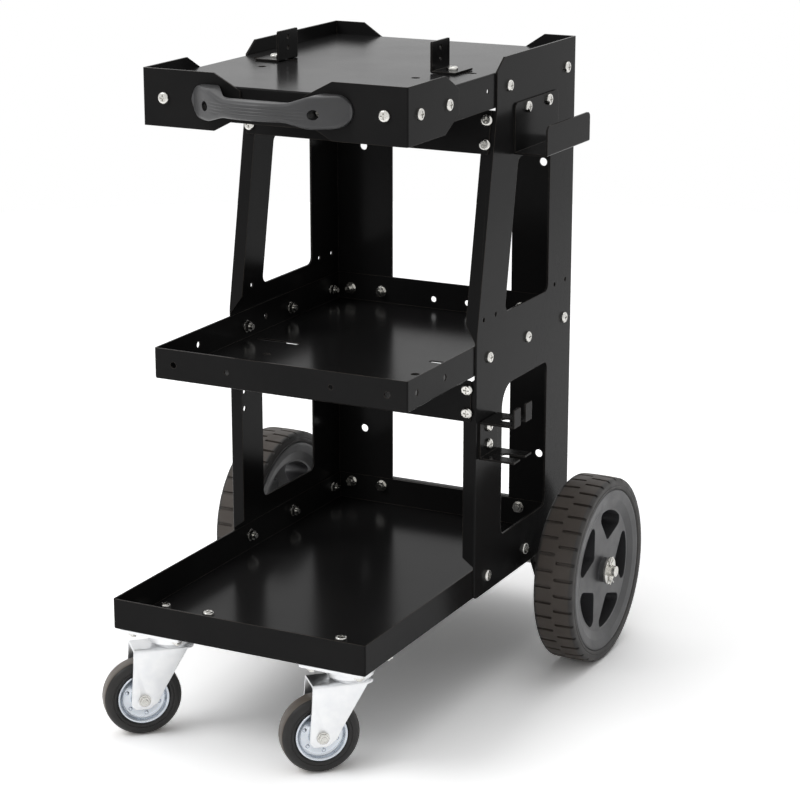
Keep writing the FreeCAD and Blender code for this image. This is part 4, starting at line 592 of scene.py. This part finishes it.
def hexagon(low, high):
    """A nut or a head along X with its outer corners taken off."""
    corner, chamfer = 9.8 / math.sqrt(3), 0.6
    points = []
    for along, radius in ((low, corner), (high - chamfer, corner), (high, corner - chamfer * 1.6)):
        points += [(along, radius * cosine(turn), radius * sine(turn)) for turn in range(0, 360, 60)]
    return points, grid_faces(3, 6) + [tuple(range(6)), tuple(range(12, 18))]


def mirrored(shape):
    """The same shape on the other side of the wheel."""
    points, faces = shape
    return [(-along, one, other) for along, one, other in points], faces


def make_caster_axle(name):
    """A bolt through both legs: thread, washer and nut outside one leg, its head outside the other."""
    outside, over, thin = LEG_OUTSIDE, LEG_OUTSIDE + 0.5, 0.01
    shank = turned([(-over, thin), (-over, AXLE_FIT), (over, AXLE_FIT), (over, thin)], 40)
    thread = turned([(outside, thin), (outside, 2.95), (outside + 4.6, 2.95), (outside + 5.0, 2.5),
                     (outside + 4.7, 0.9), (outside + 4.6, thin)], 40)
    washer = turned([(outside + 0.05, 3.0), (outside + 0.05, 6.3), (outside + 1.2, 6.2), (outside + 1.3, 6.0),
                     (outside + 1.3, 3.0)], 48)
    near = [mirrored(shape) for shape in (thread, washer, hexagon(outside + 1.35, outside + 4.0))]
    bolt = new_object(name + "_axle_bolt", *joined(shank, *near), wheel_place(name))
    dress(bolt, name + "_swivel", "zinc_fastener", name + "_caster_wheel_bolt", 30)
    head = new_object(name + "_axle_head", *hexagon(outside + 0.05, outside + 4.4), wheel_place(name))
    dress(head, name + "_swivel", "zinc_fastener", name + "_caster_wheel_nut", 30)


# Split pins through the rear axle: a wire with an eye and bent legs

PIN_WIRE = 0.85         # radius of the wire
PIN_EYE = 2.9


def wire(route, radius, sides=10):
    """A tube of round wire along a list of points."""
    points = []
    normal = Vector((1, 0, 0))
    for number, spot in enumerate(route):
        ahead, behind = route[min(number + 1, len(route) - 1)], route[max(number - 1, 0)]
        along = (Vector(ahead) - Vector(behind)).normalized()
        normal = (normal - along * normal.dot(along)).normalized()
        other = along.cross(normal)
        for step in range(sides):
            turn = 2 * math.pi * step / sides
            points.append(Vector(spot) + (normal * math.cos(turn) + other * math.sin(turn)) * radius)
    faces = grid_faces(len(route), sides)
    return points, faces + [tuple(range(sides)), tuple(range(len(points) - sides, len(points)))]


def make_split_pins():
    leg = [(PIN_WIRE, 8.6), (PIN_WIRE, 2), (PIN_WIRE, -6), (PIN_WIRE, -10)]
    bend = [(1.0 + 0.3 * step + 0.16 * step ** 2, -10 - 1.15 * step) for step in range(1, 5)]
    half = list(reversed(leg + bend))
    eye = [(PIN_EYE * sine(turn), 12.6 - PIN_EYE * cosine(turn)) for turn in range(20, 341, 20)]
    route = half + eye + [(-across, height) for across, height in reversed(half)]
    spots, faces = wire([(0, across, height) for across, height in route], PIN_WIRE)
    axle = middle("rear_axle") / MM
    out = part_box("cotter_pins")[1][0] / MM - 1.6
    both = [([Vector((out * side, axle.y, axle.z)) + spot for spot in spots], faces) for side in (-1, 1)]
    pins = new_object("split_pins", *joined(*both))
    dress(pins, "cart", "zinc_fastener", "cotter_pins", 50)


make_handle()
for side, name in ((-1, "left"), (1, "right")):
    make_rear_tyre(side, name)
    make_caster_tyre(name)
    make_caster_rim(name)
    make_fork(name)
    make_caster_axle(name)
make_split_pins()


# Floor, light and camera

FLOOR_RADIUS = 2.6
FLOOR_PALE = (0.80, 0.80, 0.80)         # as it lights the object
FLOOR_SEEN = (1.7, 1.7, 1.7)            # as the camera, mirrors and glass see it
STUDIO_STRENGTH = 0.75
STUDIO_BRIGHT, STUDIO_DIM = 1.0, 0.25
LAMP_TARGET = (0, 0, 0.3)
LAMPS = {"key": ((-1.6, -1.9, 2.6), 1.6, 23), "top": ((0.2, 0.6, 3.0), 2.0, 9.5)}
CAMERA_PLACE = (1.1643, -2.2166, 1.0130)
CAMERA_YAW, CAMERA_PITCH = 26.99, 15.85
CAMERA_LENS = 110.5


def background_ray(tree):
    """1 for rays that come from the camera, from a mirror or through glass."""
    path = tree.nodes.new("ShaderNodeLightPath")
    total = path.outputs["Is Camera Ray"]
    for name in ("Is Glossy Ray", "Is Transmission Ray"):
        node = tree.nodes.new("ShaderNodeMath")
        node.operation = "MAXIMUM"
        tree.links.new(total, node.inputs[0])
        tree.links.new(path.outputs[name], node.inputs[1])
        total = node.outputs[0]
    return total


def make_floor():
    """A floor that looks white, and sends back only as much light as pale paper."""
    mesh = bpy.data.meshes.new("floor")
    built = bmesh.new()
    bmesh.ops.create_circle(built, cap_ends=True, segments=96, radius=FLOOR_RADIUS)
    built.to_mesh(mesh)
    built.free()
    floor = bpy.data.objects.new("floor", mesh)
    bpy.context.scene.collection.objects.link(floor)
    material, shader = new_material("floor_white", FLOOR_PALE, 1.0, specular=0.0)
    ray = background_ray(material.node_tree)
    link(material, mix_colors(material, ray, FLOOR_PALE, FLOOR_SEEN), shader.inputs["Base Color"])
    mesh.materials.append(material)


def make_world():
    """White behind the object and in its mirrors, and a soft studio that lights it, darker on the +X side."""
    world = bpy.data.worlds.new("studio")
    bpy.context.scene.world = world
    world.use_nodes = True
    tree = world.node_tree
    tree.nodes.clear()
    seen, lit = tree.nodes.new("ShaderNodeBackground"), tree.nodes.new("ShaderNodeBackground")
    seen.inputs["Color"].default_value = (1, 1, 1, 1)
    lit.inputs["Strength"].default_value = STUDIO_STRENGTH
    place = tree.nodes.new("ShaderNodeTexCoord")
    split = tree.nodes.new("ShaderNodeSeparateXYZ")
    tree.links.new(place.outputs["Generated"], split.inputs[0])
    ramp = tree.nodes.new("ShaderNodeMapRange")
    for name, number in (("From Min", -0.2), ("From Max", 1.0),
                         ("To Min", STUDIO_BRIGHT), ("To Max", STUDIO_DIM)):
        ramp.inputs[name].default_value = number
    tree.links.new(split.outputs["X"], ramp.inputs["Value"])
    tree.links.new(ramp.outputs["Result"], lit.inputs["Color"])
    mix = tree.nodes.new("ShaderNodeMixShader")
    tree.links.new(background_ray(tree), mix.inputs[0])
    tree.links.new(lit.outputs[0], mix.inputs[1])
    tree.links.new(seen.outputs[0], mix.inputs[2])
    tree.links.new(mix.outputs[0], tree.nodes.new("ShaderNodeOutputWorld").inputs["Surface"])


def aim(thing, place, towards):
    """Puts a lamp or the camera at a place, and turns it towards a direction."""
    thing.location = place
    thing.rotation_mode = "QUATERNION"
    thing.rotation_quaternion = towards.to_track_quat("-Z", "Y")
    bpy.context.scene.collection.objects.link(thing)


def area_light(name, place, size, power):
    light = bpy.data.lights.new(name, "AREA")
    light.shape = "DISK"
    light.size = size
    light.energy = power
    aim(bpy.data.objects.new(name, light), place, Vector(LAMP_TARGET) - Vector(place))


def make_camera():
    camera = bpy.data.cameras.new("camera")
    camera.lens = CAMERA_LENS
    camera.sensor_width = 36
    holder = bpy.data.objects.new("camera", camera)
    look = Vector((-sine(CAMERA_YAW) * cosine(CAMERA_PITCH), cosine(CAMERA_YAW) * cosine(CAMERA_PITCH),
                   -sine(CAMERA_PITCH)))
    aim(holder, CAMERA_PLACE, look)
    bpy.context.scene.camera = holder


make_floor()
make_world()
for name, (place, size, power) in LAMPS.items():
    area_light(name, place, size, power)
make_camera()
bpy.context.scene.view_settings.view_transform = "Standard"
